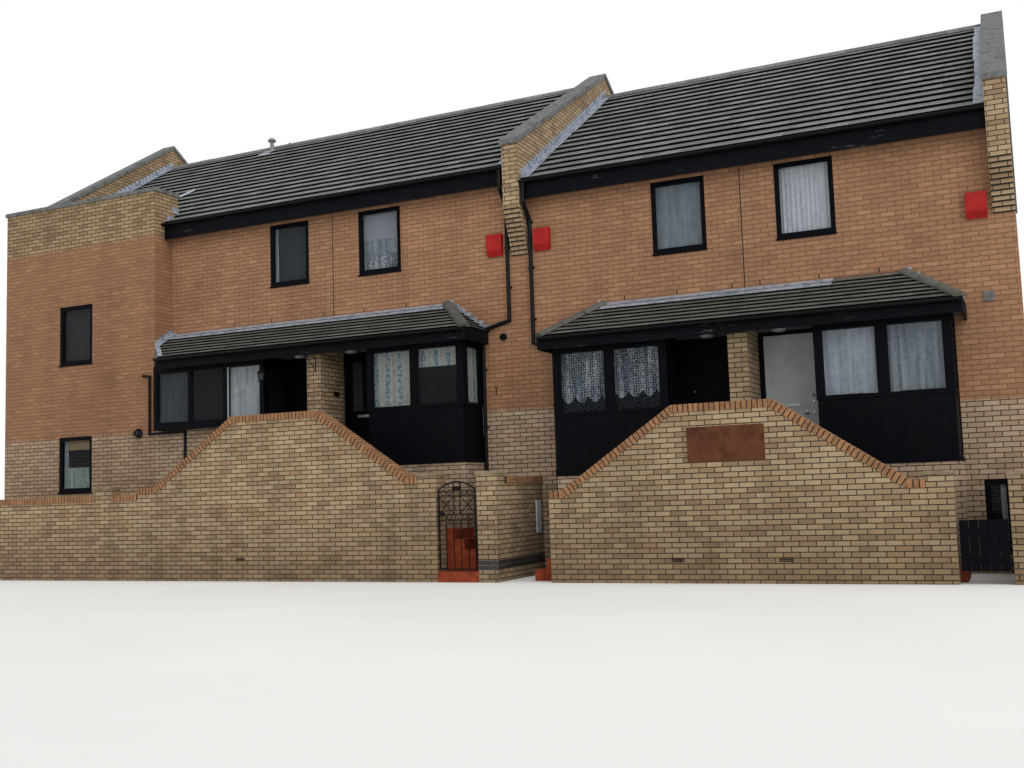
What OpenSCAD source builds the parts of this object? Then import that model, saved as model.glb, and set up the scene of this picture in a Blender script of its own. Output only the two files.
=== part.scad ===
// Terraced house row: an end house and two pairs of handed houses with raised
// entrances, timber bays, twin flights behind brick stair walls and corbelled
// party walls. X runs along the street front, Y into the houses, Z up.

/* [Row] */
// Wall between the left pair's wide bay and the end house
left_end_gap = 190; // [150:5:260]
// Wall between the right pair's far bay and the end party wall
right_end_gap = 620; // [580:5:700]
// Width of the projecting end house
block_w = 4125; // [3700:5:4800]
// How far the end house stands forward of the pairs
block_out = 500; // [400:10:600]
// Depth of the houses from front face to rear face
depth = 8600; // [7600:50:9600]
// Thickness of the outer brick walls
wall_t = 300; // [250:5:330]
// Thickness of the party walls
party_t = 300; // [280:5:330]
// Height of one brick course
course = 75; // [72:0.5:78]
// Courses by which the left houses stand above the right pair
step_courses = 4; // [3:1:5]

/* [Heights of the right pair] */
// Top of the landing
landing_z = 1630; // [1600:10:1700]
// Step from the landing up to the entrance floor
threshold = 70; // [40:5:100]
// Head of the door frames above the door leaves' gap
door_head_w = 49; // [40:1:80]
// Landing to the bottom of the bay panes
bay_sill_h = 985; // [900:5:1050]
// Top of the bay panes to the foot of the upper wall
bay_head_h = 140; // [110:5:180]
// Foot of the upper wall to the tile edge of the bay roof
bay_eaves_h = 130; // [110:5:180]
// Rise of the bay roof to the wall
bay_roof_rise = 590; // [540:5:680]
// Foot of the upper wall to the upper floor
upper_floor_h = 550; // [500:10:620]
// Upper floor to the sills of the upper windows
window_sill_h = 900; // [800:10:950]
// Height of the upper windows
window_h = 1200; // [1100:5:1250]
// Window heads to the tile edge of the main roof
eaves_h = 330; // [300:5:400]

/* [Roof] */
// Pitch of the main roofs
roof_pitch = 32.5; // [30:0.5:34]
// Thickness of rafters and tiles, measured upright
roof_t = 180; // [150:5:200]
// Overhang of the eaves beyond the wall face
eaves_out = 200; // [180:5:210]
// Outer radius of a ridge tile
ridge_r = 130; // [110:5:150]
// Height of the fascia boards
fascia_h = 330; // [280:5:350]
// Thickness of the fascia boards
fascia_t = 25; // [20:1:32]
// Outer radius of the gutters
gutter_r = 55; // [45:1:60]
// Wall of the gutters and the downpipes
pipe_wall = 6; // [4:1:8]
// Outer radius of the downpipes
pipe_r = 34; // [30:1:40]

/* [Party walls] */
// How far the party wall piers stand out at the eaves
pier_out = 320; // [300:5:340]
// Corbelled courses below the piers
corbels = 11; // [9:1:12]
// Top of the party wall brickwork at the front above the eaves
party_front_h = 360; // [320:10:450]
// Foot of the corbels below that
corbel_drop = 1910; // [1800:10:2000]
// Pitch of the party wall copings
party_pitch = 30; // [29:0.5:32]
// Height of the party wall copings
coping_h = 75; // [60:5:90]
// Overhang of the stone copings
coping_out = 30; // [20:5:40]

/* [End house] */
// Top of the parapet brickwork above the left eaves
parapet_h = 615; // [520:5:720]
// Height of the gable parapet's brickwork over the ridge
gable_rise = 520; // [480:5:560]
// How far the end house's side wall runs back beyond the pairs' front
block_return = 160; // [120:5:220]
// Distance from the end wall to its windows
block_window_x = 1560; // [1400:10:1700]
// Sill of the lower window
block_low_sill_z = 1665; // [1600:5:1750]
// Sill of the upper window
block_mid_sill_z = 4280; // [4200:5:4350]
// Height of the lower window
block_low_h = 1120; // [1050:5:1180]
// Height of the upper window
block_mid_h = 1215; // [1100:5:1300]
// Top of the lower floor
block_low_floor_z = 760; // [700:10:850]
// Top of the upper floor
block_mid_floor_z = 3370; // [3300:10:3450]

/* [Windows and doors] */
// Width of the windows
window_w = 905; // [850:5:950]
// Party wall centre to the near window
near_window_x = 2390; // [2200:10:2500]
// Party wall centre to the far window
far_window_x = 4412; // [4200:10:4550]
// Width of the window frame members
frame_w = 50; // [40:2:60]
// Depth of the window frame members
frame_t = 70; // [60:2:90]
// Setback of the window frames from the wall face
frame_set = 30; // [20:5:60]
// Thickness of the glass units
glass_t = 20; // [16:1:28]
// Height of the door leaves
door_h = 1955; // [1900:5:1965]
// Thickness of the door leaves
door_t = 44; // [40:1:50]
// Clearance round the door leaves
door_gap = 8; // [6:0.5:10]
// Width of the door frame members
door_frame_w = 60; // [50:1:65]
// Setback of the door leaves from the wall face
door_set = 40; // [35:5:60]

/* [Bays and porches] */
// Projection of the bays
bay_out = 750; // [740:5:780]
// Width of a bay
bay_w = 1900; // [1850:5:1950]
// Width of the wide bay beside the end house
wide_bay_w = 2630; // [2600:5:2660]
// Width of each porch
porch_w = 2240; // [2200:5:2280]
// Party wall centre to the left pair's bay
left_bay_gap = 795; // [760:5:830]
// Party wall centre to the right pair's bay
right_bay_gap = 860; // [830:5:890]
// Width of the brick pier in the porch
porch_pier_w = 300; // [280:5:330]
// Thickness of the bay frames
bay_t = 70; // [60:2:80]
// Width of the bay posts and rails
bay_post = 90; // [80:5:110]
// Thickness of the boarded panels
panel_t = 40; // [30:2:50]
// Overhang of the bay roof in front
bay_eaves_out = 200; // [180:5:220]
// Overhang of the bay roof at its ends
bay_verge_out = 150; // [120:5:160]
// Length of the hips, along the wall
hip_run = 800; // [700:10:850]
// Length along the front of the bay roof's skewed corner beside the end house
bay_cut = 480; // [400:5:640]
// Height of the bay fascia boards
bay_fascia_h = 220; // [200:5:230]

/* [Stairs] */
// Front face of the stair walls from the house front
stair_wall_out = 1800; // [1750:10:1900]
// Thickness of the stair walls
stair_wall_t = 225; // [215:1:240]
// Width of the upper flat of the left stair wall
left_flat_w = 1720; // [1700:10:1800]
// Width of the upper flat of the right stair wall
right_flat_w = 1380; // [1300:10:1480]
// Middle of the left stair wall beyond the porch's middle
left_stair_out = 125; // [80:5:150]
// Middle of the right stair wall short of the porch's middle
right_stair_in = 50; // [20:5:80]
// Top of the stair wall coping above the landing
guard_h = 910; // [880:10:950]
// Top of the low coping above the platform
low_guard_h = 850; // [800:10:880]
// Risers in a flight
risers = 7; // [6:1:8]
// Height of a riser
riser_h = 160; // [150:1:170]
// Going of a tread
going = 250; // [240:1:260]
// Going of the entry steps at the gates
entry_going = 200; // [180:5:220]
// Length of the low flat at the stair walls' ends
low_flat_w = 240; // [200:10:300]
// Height of the brick-on-edge copings
edge_h = 110; // [100:1:120]
// Overhang of the brick-on-edge copings
edge_out = 10; // [5:1:20]

/* [Gates and garden walls] */
// Side of the gate piers
gate_pier_w = 330; // [300:5:340]
// Gate piers' brickwork above the stair walls' low copings
gate_pier_up = 5; // [5:5:40]
// Middle of the iron gate, from the party wall
gate_x = 425; // [415:5:435]
// Clear width between the gate piers
gate_w = 725; // [700:5:740]
// Height of a pier cap
cap_h = 55; // [45:5:70]
// Overhang of a pier cap
cap_out = 45; // [30:5:50]
// Height of the iron gate at its sides
gate_side_h = 1250; // [1150:10:1300]
// Rise of the gate's arch
gate_arch = 130; // [100:5:150]
// Gap between the iron gate and the step below it
gate_foot_gap = 28; // [20:1:60]
// Side of the gate's square frame bars
gate_bar = 20; // [16:1:22]
// Side of the gate's inner bars
thin_bar = 12; // [10:1:14]
// Outer radius of the rings in the gate
ring_r = 45; // [40:1:48]
// Gap between a gate and its piers
hinge_gap = 34; // [32:1:40]
// Height of the boarded gate
board_gate_h = 650; // [600:10:720]
// Foot of the boarded gate
board_gate_foot_z = 170; // [150:5:250]
// Top of the garden wall's coping below the gate piers' brickwork
garden_drop = 120; // [80:5:200]
// Top of the yard wall's coping below the gate piers' brickwork
yard_drop = 45; // [30:5:100]
// Thickness of the garden walls
garden_t = 225; // [215:1:240]
// Plate over the blocked planter in the right stair wall
panel_w = 1110; // [1000:10:1200]
// Height of that plate
panel_h = 500; // [450:10:550]

/* [Hidden] */
$fn = 32;

// Levels of the left houses stand this much higher
step_up = step_courses * course;
// Entrance floor of the right pair, and the levels above it
entrance_z = landing_z + threshold;
lintel_z = entrance_z + door_h + 2 * door_gap + door_head_w;
bay_sill_z = landing_z + bay_sill_h;
bay_head_z = lintel_z - bay_head_h;
bay_eaves_z = lintel_z + bay_eaves_h;
bay_top_z = bay_eaves_z + bay_roof_rise;
upper_floor_z = lintel_z + upper_floor_h;
window_sill_z = upper_floor_z + window_sill_h;
window_head_z = window_sill_z + window_h;
eaves_z = window_head_z + eaves_h;
parapet_z = eaves_z + step_up + parapet_h;
party_front_z = eaves_z + party_front_h;
corbel_z = party_front_z - corbel_drop;
left_sill_z = bay_sill_z + step_up;
floor_t = 200;
ground_t = 150;
ceiling_t = 100;
// Porch, bay and door lines, as distances from the middle party wall
left_porch_x = left_bay_gap + bay_w;
right_porch_x = right_bay_gap + bay_w;
left_far_bay_x = left_porch_x + porch_w;
right_far_bay_x = right_porch_x + porch_w;
left_strip_end = left_far_bay_x + wide_bay_w;
right_strip_end = right_far_bay_x + bay_w;
doorway_w = (porch_w - porch_pier_w) / 2;
leaf_w = doorway_w - 2 * door_frame_w - 2 * door_gap;
// Plan lines along X, with the middle party wall's centre at zero
x_left = -party_t / 2;
x_right = party_t / 2;
x_block = -left_strip_end - left_end_gap;
x_gable = x_block - block_w;
x_end = right_strip_end + right_end_gap;
x_last = x_end + party_t;
// Roof lines along Y
ridge_y = depth / 2;
slope = tan(roof_pitch);
party_slope = tan(party_pitch);
ridge_z = eaves_z + (ridge_y + eaves_out) * slope;
plate_z = eaves_z + eaves_out * slope - roof_t;
// Stair lines
left_stair_x = left_porch_x + porch_w / 2 + left_stair_out;
right_stair_x = right_porch_x + porch_w / 2 - right_stair_in;
stair_in = stair_wall_out - stair_wall_t;
flight_run = risers * going;
flight_rise = risers * riser_h;
platform_z = landing_z - flight_rise;
entry_risers = 3;
entry_rise = platform_z / entry_risers;
left_entry_risers = 5;
left_entry_rise = (platform_z + step_up) / left_entry_risers;
// The flat middle of each stair wall and its ends
left_flat_x0 = -left_stair_x - left_flat_w / 2;
left_flat_x1 = -left_stair_x + left_flat_w / 2;
right_flat_x0 = right_stair_x - right_flat_w / 2;
right_flat_x1 = right_stair_x + right_flat_w / 2;
left_low_w = 430;
left_wall_x0 = left_flat_x0 - flight_run - left_low_w;
left_wall_x1 = -gate_x - gate_w / 2 - gate_pier_w;
right_wall_x0 = right_flat_x0 - flight_run - low_flat_w;
right_wall_x1 = right_flat_x1 + flight_run + low_flat_w;
// Gate lines
gate_x0 = -gate_x - gate_w / 2;
gate_x1 = -gate_x + gate_w / 2;
pier_front = stair_wall_out + 10;
board_gate_x0 = right_wall_x1 + gate_pier_w;
board_gate_x1 = x_last - gate_pier_w;
gate_foot_z = left_entry_rise + gate_foot_gap;
pin_r = 6;
pin_gap = 0.3;
eye_r = 12;
eye_h = 25;
gate_y = -stair_wall_out + gate_bar / 2;
pier_back = pier_front - gate_pier_w;
yard_x1 = gate_x1 + gate_pier_w;
yard_x0 = yard_x1 - garden_t;
// Tops of the gate piers' brickwork and of the garden walls' copings
gate_pier_z = platform_z + step_up + low_guard_h + gate_pier_up;
garden_z = gate_pier_z - garden_drop;
yard_z = gate_pier_z - yard_drop;
// Distance from the middle party wall to the end house's windows
block_window_x0 = x_gable + block_window_x;
// The wide bay stands on a brick base as far forward as the end house
base_drop = 140;
base_z = left_sill_z - base_drop;
board_t = 75;
// Home position: the row's footprint is centred on the origin
front_y = -pier_front - cap_out;
rear_y = depth + pier_out + coping_out;
home_x = -(x_gable - coping_out + x_last + cap_out) / 2;
home_y = -(front_y + rear_y) / 2;
gable_apex_z = ridge_z + step_up + gable_rise;
gable_start_y = ridge_y - (gable_apex_z - parapet_z) / slope;
// The narrow lower window beside the end party wall
area_window_w = 360;
area_window_h = 980;
area_sill_z = 350;
area_x0 = x_end - area_window_w - 20;
// Windows of the front and the rear, by their near edges
left_windows = [-near_window_x - window_w, -far_window_x - window_w];
right_windows = [near_window_x, far_window_x];
left_rear_windows = concat(left_windows, [block_window_x0]);
rear_sill_z = lintel_z - window_h;
// The bay roofs' eaves lines, and the skewed corner beside the end house
bay_eaves_y = bay_out + bay_eaves_out;
left_gutter_x0 = x_block + bay_cut;
left_bay_roof_x1 = -left_bay_gap + bay_verge_out;
right_bay_roof_x0 = right_bay_gap - bay_verge_out;
right_bay_roof_x1 = right_strip_end + bay_verge_out;
// Rim of a gutter below the tile edge
gutter_drop = 20;
// Downpipes: upper and lower runs, and the notch that lets one pass the bay roof's edge
left_pipe_x = x_left - 80;
socket = 4;
left_low_pipe_x = -left_bay_gap + pipe_r + socket + 5;
right_pipe_x = x_right + 60;
right_low_pipe_x = right_bay_roof_x0 - 130;
notch_w = 50;
notch_y = 90;
bend = 260;
// Waste pipe on the end house: out of the wall, down, along and down behind the stair wall
waste_r = 26;
waste_x = [x_block - 270, x_block - 115, x_block + 770];
waste_z = base_z + 1120;
waste_low_z = base_z - waste_r - 12;
bay_rail = 60;
// Door frame, hinges, and the leaf's panels and knob
frame_depth = door_set + door_t;
stop_w = 14;
knuckle_r = 8;
hinge_pin_r = 5;
knuckle_h = 35;
hinge_off = knuckle_r + 1;
plate_l = 30;
hinge_y = frame_depth + hinge_off;
hinge_heights = [200, 1650];
panel_in = 110;
panel_recess = 8;
low_panel = [200, 850];
high_panel_z = 1120;
knob_z = 1000;
knob_r = 24;
spindle_r = 11;
spindle_l = 30;
left_door_1_x = -left_far_bay_x;
left_door_2_x = -left_porch_x - doorway_w;
right_door_1_x = right_porch_x;
right_door_2_x = right_far_bay_x - doorway_w;
// Piers of the garden wall and of the boarded gate
garden_pier_w = 400;
garden_pier_x = x_block - garden_pier_w / 2 - 55;
low_pier_z = platform_z + low_guard_h + 60;
last_pier_z = 1380;
end_wall_z = last_pier_z - 30;
// Alarm boxes
alarm_w = 290;
alarm_h = 385;
alarm_t = 90;
alarm_sill = 305;
alarm_z = window_sill_z + alarm_sill;
left_alarm_gap = 170;
right_alarm_gap = 140;
end_alarm_gap = 70;
// Lamps: one on the end house, and two under each porch's soffit
lamp_r = 55;
lamp_out = 90;
lamp_x = x_block - 400;
lamp_z = base_z - 15;
soffit_light_r = 110;
soffit_light_h = 60;
soffit_light_x = 560;

module at_home() {
  translate([home_x, home_y, 0]) children();
}

// A block between two corners
module block(x0, x1, y0, y1, z0, z1) {
  translate([x0, y0, z0]) cube([x1 - x0, y1 - y0, z1 - z0]);
}

// An outline in Y and Z drawn along X
module along_x(x0, x1) {
  translate([x0, 0, 0]) rotate([90, 0, 90]) linear_extrude(height = x1 - x0) children();
}

// An outline in X and Z drawn along Y
module along_y(y0, y1) {
  translate([0, y1, 0]) rotate([90, 0, 0]) linear_extrude(height = y1 - y0) children();
}

// Height of the roof's tile surface over a point, right pair level
function roof_z(y) = eaves_z + (min(y, depth - y) + eaves_out) * slope;

// Floors

module ground_floor() {
  color("silver") at_home() {
    difference() {
      union() {
        block(x_gable + party_t, x_left, wall_t, depth - wall_t, 0, ground_t);
        block(x_gable + party_t, -left_far_bay_x - wall_t, -block_out + wall_t, wall_t, 0, ground_t);
      }
      block(x_block - wall_t, x_block, -block_out, block_return, -1, ground_t + 1);
    }
    block(x_right, x_end, wall_t, depth - wall_t, 0, ground_t);
  }
}

module block_floor(z, t) {
  difference() {
    union() {
      block(x_gable + party_t, x_block, wall_t, depth - wall_t, z - t, z);
      block(x_gable + party_t, x_block, -block_out + wall_t, wall_t, z - t, z);
    }
    block(x_block - wall_t, x_block + 1, -block_out, block_return, z - t - 1, z + 1);
  }
}

module bay_floor(x0, x1, z) {
  block(x0 + bay_t, x1 - bay_t, -bay_out + bay_t, 0, z - threshold, z);
}

module upper_floors() {
  color("burlywood") at_home() {
    left_z = entrance_z + step_up;
    block(x_block, x_left, wall_t, depth - wall_t, left_z - floor_t, left_z);
    block(x_block, -left_bay_gap, 0, wall_t, left_z - threshold, left_z);
    bay_floor(-left_porch_x, -left_bay_gap, left_z);
    block(x_block, -left_far_bay_x - wall_t, -block_out + wall_t, 0, left_z - threshold, left_z);
    block(x_right, x_end, wall_t, depth - wall_t, entrance_z - floor_t, entrance_z);
    block(right_bay_gap, right_strip_end, 0, wall_t, entrance_z - threshold, entrance_z);
    bay_floor(right_bay_gap, right_porch_x, entrance_z);
    bay_floor(right_far_bay_x, right_strip_end, entrance_z);
    block(x_block, x_left, wall_t, depth - wall_t,
          upper_floor_z + step_up - floor_t, upper_floor_z + step_up);
    block(x_right, x_end, wall_t, depth - wall_t, upper_floor_z - floor_t, upper_floor_z);
    block(x_right, x_end, wall_t, depth - wall_t, window_head_z, window_head_z + ceiling_t);
    block(x_block, x_left, wall_t, depth - wall_t,
          window_head_z + step_up, window_head_z + step_up + ceiling_t);
    block_floor(block_low_floor_z, floor_t);
    block_floor(block_mid_floor_z, floor_t);
    block_floor(window_head_z + step_up + ceiling_t, ceiling_t);
  }
}

// Party walls and gable

// Half outline of a party wall from its foot to the coping, with corbelled courses
function corbel_steps(z) = [
  for (i = [0 : corbels - 1], k = [0, 1])
    [-(i + k) * pier_out / corbels, z + i * course]
];

function party_half(z_corbel, z_front, z_apex) =
  concat([[0, 0]], corbel_steps(z_corbel), [[-pier_out, z_front], [ridge_y, z_apex]]);

function mirrored(points) = [
  for (i = [len(points) - 2 : -1 : 0]) [depth - points[i][0], points[i][1]]
];

function party_outline(lift) =
  let (z_front = party_front_z + lift,
       half = party_half(corbel_z + lift, z_front, z_front + (ridge_y + pier_out) * party_slope))
  concat(half, mirrored(half));

module party_wall(x0, lift) {
  along_x(x0, x0 + party_t) polygon(party_outline(lift));
}

module mid_party_wall() {
  color("peru") at_home() party_wall(x_left, step_up);
}

module end_party_wall() {
  color("peru") at_home() party_wall(x_end, 0);
}

module left_gable_wall() {
  color("tan") at_home() along_x(x_gable, x_gable + party_t) polygon([
    [-block_out, 0], [-block_out, parapet_z], [gable_start_y, parapet_z],
    [ridge_y, gable_apex_z], [depth, gable_apex_z - ridge_y * slope], [depth, 0]
  ]);
}

// A coping band on a slope that falls to both sides of the ridge
module sloped_coping(x0, x1, y_front, z_front, y_rear, z_rear, z_apex, h) {
  along_x(x0, x1) polygon([
    [y_front, z_front], [ridge_y, z_apex], [y_rear, z_rear],
    [y_rear, z_rear + h], [ridge_y, z_apex + h], [y_front, z_front + h]
  ]);
}

module party_coping(x0, lift) {
  z_pier = party_front_z + lift;
  z_apex = z_pier + (ridge_y + pier_out) * party_slope;
  z_tip = z_pier - coping_out * party_slope;
  sloped_coping(x0 - coping_out, x0 + party_t + coping_out, -pier_out - coping_out, z_tip,
                depth + pier_out + coping_out, z_tip, z_apex, coping_h / cos(party_pitch));
}

module wall_copings() {
  color("dimgray") at_home() {
    party_coping(x_left, step_up);
    party_coping(x_end, 0);
    gable_rear_z = gable_apex_z - (ridge_y + coping_out) * slope;
    sloped_coping(x_gable - coping_out, x_gable + party_t + coping_out, gable_start_y, parapet_z,
                  depth + coping_out, gable_rear_z, gable_apex_z, coping_h / cos(roof_pitch));
  }
}

// End house

module window_hole(x, y0, y1, z, w, h) {
  block(x, x + w, y0 - 1, y1 + 1, z, z + h);
}

module block_front_wall() {
  y0 = -block_out;
  y1 = y0 + wall_t;
  color("tan") at_home() difference() {
    block(x_gable + party_t, x_block, y0, y1, 0, parapet_z);
    window_hole(block_window_x0, y0, y1, block_low_sill_z, window_w, block_low_h);
    window_hole(block_window_x0, y0, y1, block_mid_sill_z, window_w, block_mid_h);
  }
}

module block_side_wall() {
  color("peru") at_home()
    block(x_block - wall_t, x_block, -block_out + wall_t, block_return, 0, parapet_z);
}

module block_coping() {
  o = coping_out;
  color("dimgray") at_home() {
    block(x_gable - o, x_block + o, -block_out - o, -block_out + wall_t + o,
          parapet_z, parapet_z + coping_h);
    block(x_block - wall_t - o, x_block + o, -block_out + wall_t + o, block_return + o,
          parapet_z, parapet_z + coping_h);
    block(x_gable - o, x_gable + party_t + o, -block_out + wall_t + o, gable_start_y,
          parapet_z, parapet_z + coping_h);
  }
}

// Front and rear walls

// Brickwork under a bay, flush with its front and sides
module plinth(x0, x1, top) {
  block(x0, x1, -bay_out, 1, 0, top);
}

module left_front_lower_wall() {
  top = landing_z + step_up;
  color("wheat") at_home() {
    plinth(-left_porch_x, -left_bay_gap, top);
    block(-left_far_bay_x - wall_t, x_left, 0, wall_t, 0, top);
    block(-left_bay_gap, x_left, 0, wall_t, top, lintel_z + step_up);
    block(x_block, -left_far_bay_x, -block_out, -block_out + wall_t, 0, base_z);
    block(-left_far_bay_x - wall_t, -left_far_bay_x, -block_out + wall_t, 0, 0, base_z);
    block(x_block, -left_strip_end, -block_out, -block_out + wall_t, base_z, lintel_z + step_up);
  }
}

module right_front_lower_wall() {
  color("wheat") at_home() difference() {
    union() {
      block(x_right, x_end, 0, wall_t, 0, landing_z);
      block(x_right, right_bay_gap, 0, wall_t, landing_z, lintel_z);
      block(right_strip_end, x_end, 0, wall_t, landing_z, lintel_z);
      plinth(right_bay_gap, right_porch_x, landing_z);
      plinth(right_far_bay_x, right_strip_end, landing_z);
    }
    window_hole(area_x0, 0, wall_t, area_sill_z, area_window_w, area_window_h);
  }
}

module upper_wall(x0, x1, lift, windows) {
  difference() {
    block(x0, x1, 0, wall_t, lintel_z + lift, plate_z + lift);
    for (x = windows) {
      window_hole(x, 0, wall_t, window_sill_z + lift, window_w, window_h);
    }
  }
}

module left_front_upper_wall() {
  color("peru") at_home() upper_wall(x_block, x_left, step_up, left_windows);
}

module right_front_upper_wall() {
  color("peru") at_home() upper_wall(x_right, x_end, 0, right_windows);
}

// Rear windows stand on two storeys, in line with the front ones
module rear_wall(x0, x1, lift, windows) {
  difference() {
    block(x0, x1, depth - wall_t, depth, 0, plate_z + lift);
    for (x = windows, z = [rear_sill_z, window_sill_z]) {
      window_hole(x, depth - wall_t, depth, z + lift, window_w, window_h);
    }
  }
}

module left_rear_wall() {
  color("peru") at_home()
    rear_wall(x_gable + party_t, x_left, step_up, left_rear_windows);
}

module right_rear_wall() {
  color("peru") at_home() rear_wall(x_right, x_end, 0, right_windows);
}

// Roofs

module roof_outline(lift, t) {
  e = eaves_z + lift;
  r = ridge_z + lift;
  polygon([
    [-eaves_out, e], [ridge_y, r], [depth + eaves_out, e],
    [depth + eaves_out, e - t], [ridge_y, r - t], [-eaves_out, e - t]
  ]);
}

module left_roof() {
  color("gray") at_home() difference() {
    along_x(x_gable + party_t, x_left) roof_outline(step_up, roof_t);
    block(x_gable, x_block, -block_out, -block_out + wall_t, 0, ridge_z);
    block(x_block - wall_t, x_block, -block_out, block_return, 0, ridge_z);
  }
}

module right_roof() {
  color("gray") at_home() along_x(x_right, x_end) roof_outline(0, roof_t);
}

module ridge_tile(x0, x1, lift) {
  ridge_seat = ridge_r / 2;
  ridge_wall = 20;
  difference() {
    along_x(x0, x1) translate([ridge_y, ridge_z + lift - ridge_seat]) difference() {
      circle(r = ridge_r);
      circle(r = ridge_r - ridge_wall);
    }
    along_x(x0 - 1, x1 + 1) roof_outline(lift, 4 * ridge_r);
  }
}

module ridge_tiles() {
  color("dimgray") at_home() {
    ridge_tile(x_gable + party_t, x_left, step_up);
    ridge_tile(x_right, x_end, 0);
  }
}

// A fascia board under the tile edge, at the front or the rear
module fascia(x0, x1, y, lift) {
  block(x0, x1, y, y + fascia_t, eaves_z + lift - fascia_h, eaves_z + lift);
}

// Boards under the bay roof's edge, returned along its open ends
module bay_fascia(x0, x1, lift, left_return, right_y) {
  y0 = -bay_eaves_y - fascia_t;
  z1 = bay_eaves_z + lift;
  z0 = z1 - bay_fascia_h;
  block(x0, x1, y0, -bay_eaves_y, z0, z1);
  if (left_return) block(x0 - fascia_t, x0, y0, 0, z0, z1);
  block(x1, x1 + fascia_t, y0, right_y, z0, z1);
}

// The board under the left bay roof's skewed corner, from the end house's face to the front board
module skew_fascia() {
  translate([0, 0, lintel_z + step_up]) linear_extrude(height = bay_eaves_h) polygon([
    [x_block, -block_out], [left_gutter_x0, -bay_eaves_y],
    [left_gutter_x0, -bay_eaves_y - fascia_t], [x_block, -block_out - fascia_t]
  ]);
}

module fascia_boards() {
  y_rear = depth + eaves_out;
  color("black") at_home() {
    fascia(x_block, x_left, -eaves_out - fascia_t, step_up);
    fascia(x_right, x_end, -eaves_out - fascia_t, 0);
    fascia(x_gable + party_t, x_left, y_rear, step_up);
    fascia(x_right, x_end, y_rear, 0);
    bay_fascia(left_gutter_x0, left_bay_roof_x1, step_up, false, -notch_y);
    bay_fascia(right_bay_roof_x0, right_bay_roof_x1, 0, true, 0);
    skew_fascia();
  }
}

// A half-round channel outline with stop ends left open
module gutter_outline() {
  difference() {
    circle(r = gutter_r);
    circle(r = gutter_r - pipe_wall);
    translate([-2 * gutter_r, 0]) square([4 * gutter_r, 2 * gutter_r]);
  }
}

module gutter(x0, x1, y, z) {
  along_x(x0, x1) translate([y, z]) gutter_outline();
}

module gutters() {
  y_front = -eaves_out - fascia_t - gutter_r;
  y_rear = depth + eaves_out + fascia_t + gutter_r;
  y_bay = -bay_eaves_y - fascia_t - gutter_r;
  color("black") at_home() {
    gutter(x_block, x_left - pipe_wall, y_front, eaves_z + step_up - gutter_drop);
    gutter(x_right, x_end, y_front, eaves_z - gutter_drop);
    gutter(x_gable + party_t, x_left, y_rear, eaves_z + step_up - gutter_drop);
    gutter(x_right, x_end, y_rear, eaves_z - gutter_drop);
    gutter(left_gutter_x0, left_bay_roof_x1, y_bay, bay_eaves_z + step_up - gutter_drop);
    gutter(right_bay_roof_x0, right_bay_roof_x1, y_bay, bay_eaves_z - gutter_drop);
  }
}

// A round pipe through a list of points, with a ball at each bend
module pipe_run(points, r) {
  for (i = [0 : len(points) - 2]) {
    run = points[i + 1] - points[i];
    length = norm(run);
    translate(points[i])
      rotate([0, acos(run[2] / length), atan2(run[1], run[0])])
        cylinder(r = r, h = length);
  }
  for (i = [1 : len(points) - 2]) translate(points[i]) sphere(r = r + socket);
}

module downpipes() {
  y_gutter = -eaves_out - fascia_t - gutter_r;
  y_wall = -pipe_r - socket;
  y_waste = -block_out - waste_r - socket;
  z_left = eaves_z + step_up;
  outlet = gutter_drop + gutter_r;
  neck = fascia_h + 2 * pipe_r;
  foot = neck + bend;
  z_pass = bay_eaves_z + step_up + bend * 2 / 3;
  color("black") at_home() {
    pipe_run([
      [left_pipe_x, y_gutter, z_left - outlet], [left_pipe_x, y_gutter, z_left - neck],
      [left_pipe_x, y_wall, z_left - foot], [left_pipe_x, y_wall, z_pass],
      [left_low_pipe_x, y_wall, z_pass - bend / 2], [left_low_pipe_x, y_wall, 0]
    ], pipe_r);
    pipe_run([
      [right_pipe_x, y_gutter, eaves_z - outlet], [right_pipe_x, y_gutter, eaves_z - neck],
      [right_pipe_x, y_wall, eaves_z - foot], [right_pipe_x, y_wall, bay_eaves_z + bend / 5],
      [right_low_pipe_x, y_wall, bay_eaves_z - bend / 2], [right_low_pipe_x, y_wall, 0]
    ], pipe_r);
    pipe_run([
      [waste_x[0], -block_out, waste_z], [waste_x[0], y_waste, waste_z],
      [waste_x[1], y_waste, waste_z - waste_r], [waste_x[1], y_waste, waste_low_z],
      [waste_x[2], y_waste, waste_low_z], [waste_x[2], y_waste, 0]
    ], waste_r);
  }
}

// Bays

// Panes between posts: a list of [start, width] along the front
function pane_w(x0, x1, n) = (x1 - x0 - (n + 1) * bay_post) / n;

module bay_frame(x0, x1, n, sill_z, foot_z, lift, left_pane, right_pane) {
  y0 = -bay_out;
  z1 = lintel_z + lift;
  head = bay_head_z + lift;
  w = pane_w(x0, x1, n);
  side_h = head - sill_z;
  difference() {
    union() {
      block(x0, x1, y0, y0 + bay_t, foot_z, z1);
      block(x0, x0 + bay_t, y0 + bay_t, 0, foot_z, z1);
      block(x1 - bay_t, x1, y0 + bay_t, 0, foot_z, z1);
    }
    for (i = [0 : n - 1]) {
      block(x0 + bay_post + i * (w + bay_post), x0 + (i + 1) * (w + bay_post),
            y0 - 1, y0 + bay_t + 1, sill_z, sill_z + side_h);
    }
    if (left_pane) side_pane_hole(x0, sill_z, side_h);
    if (right_pane) side_pane_hole(x1 - bay_t, sill_z, side_h);
  }
}

module side_pane_hole(x, z, h) {
  block(x - 1, x + bay_t + 1, -bay_out + 2 * bay_post, -bay_post, z, z + h);
}

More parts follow.
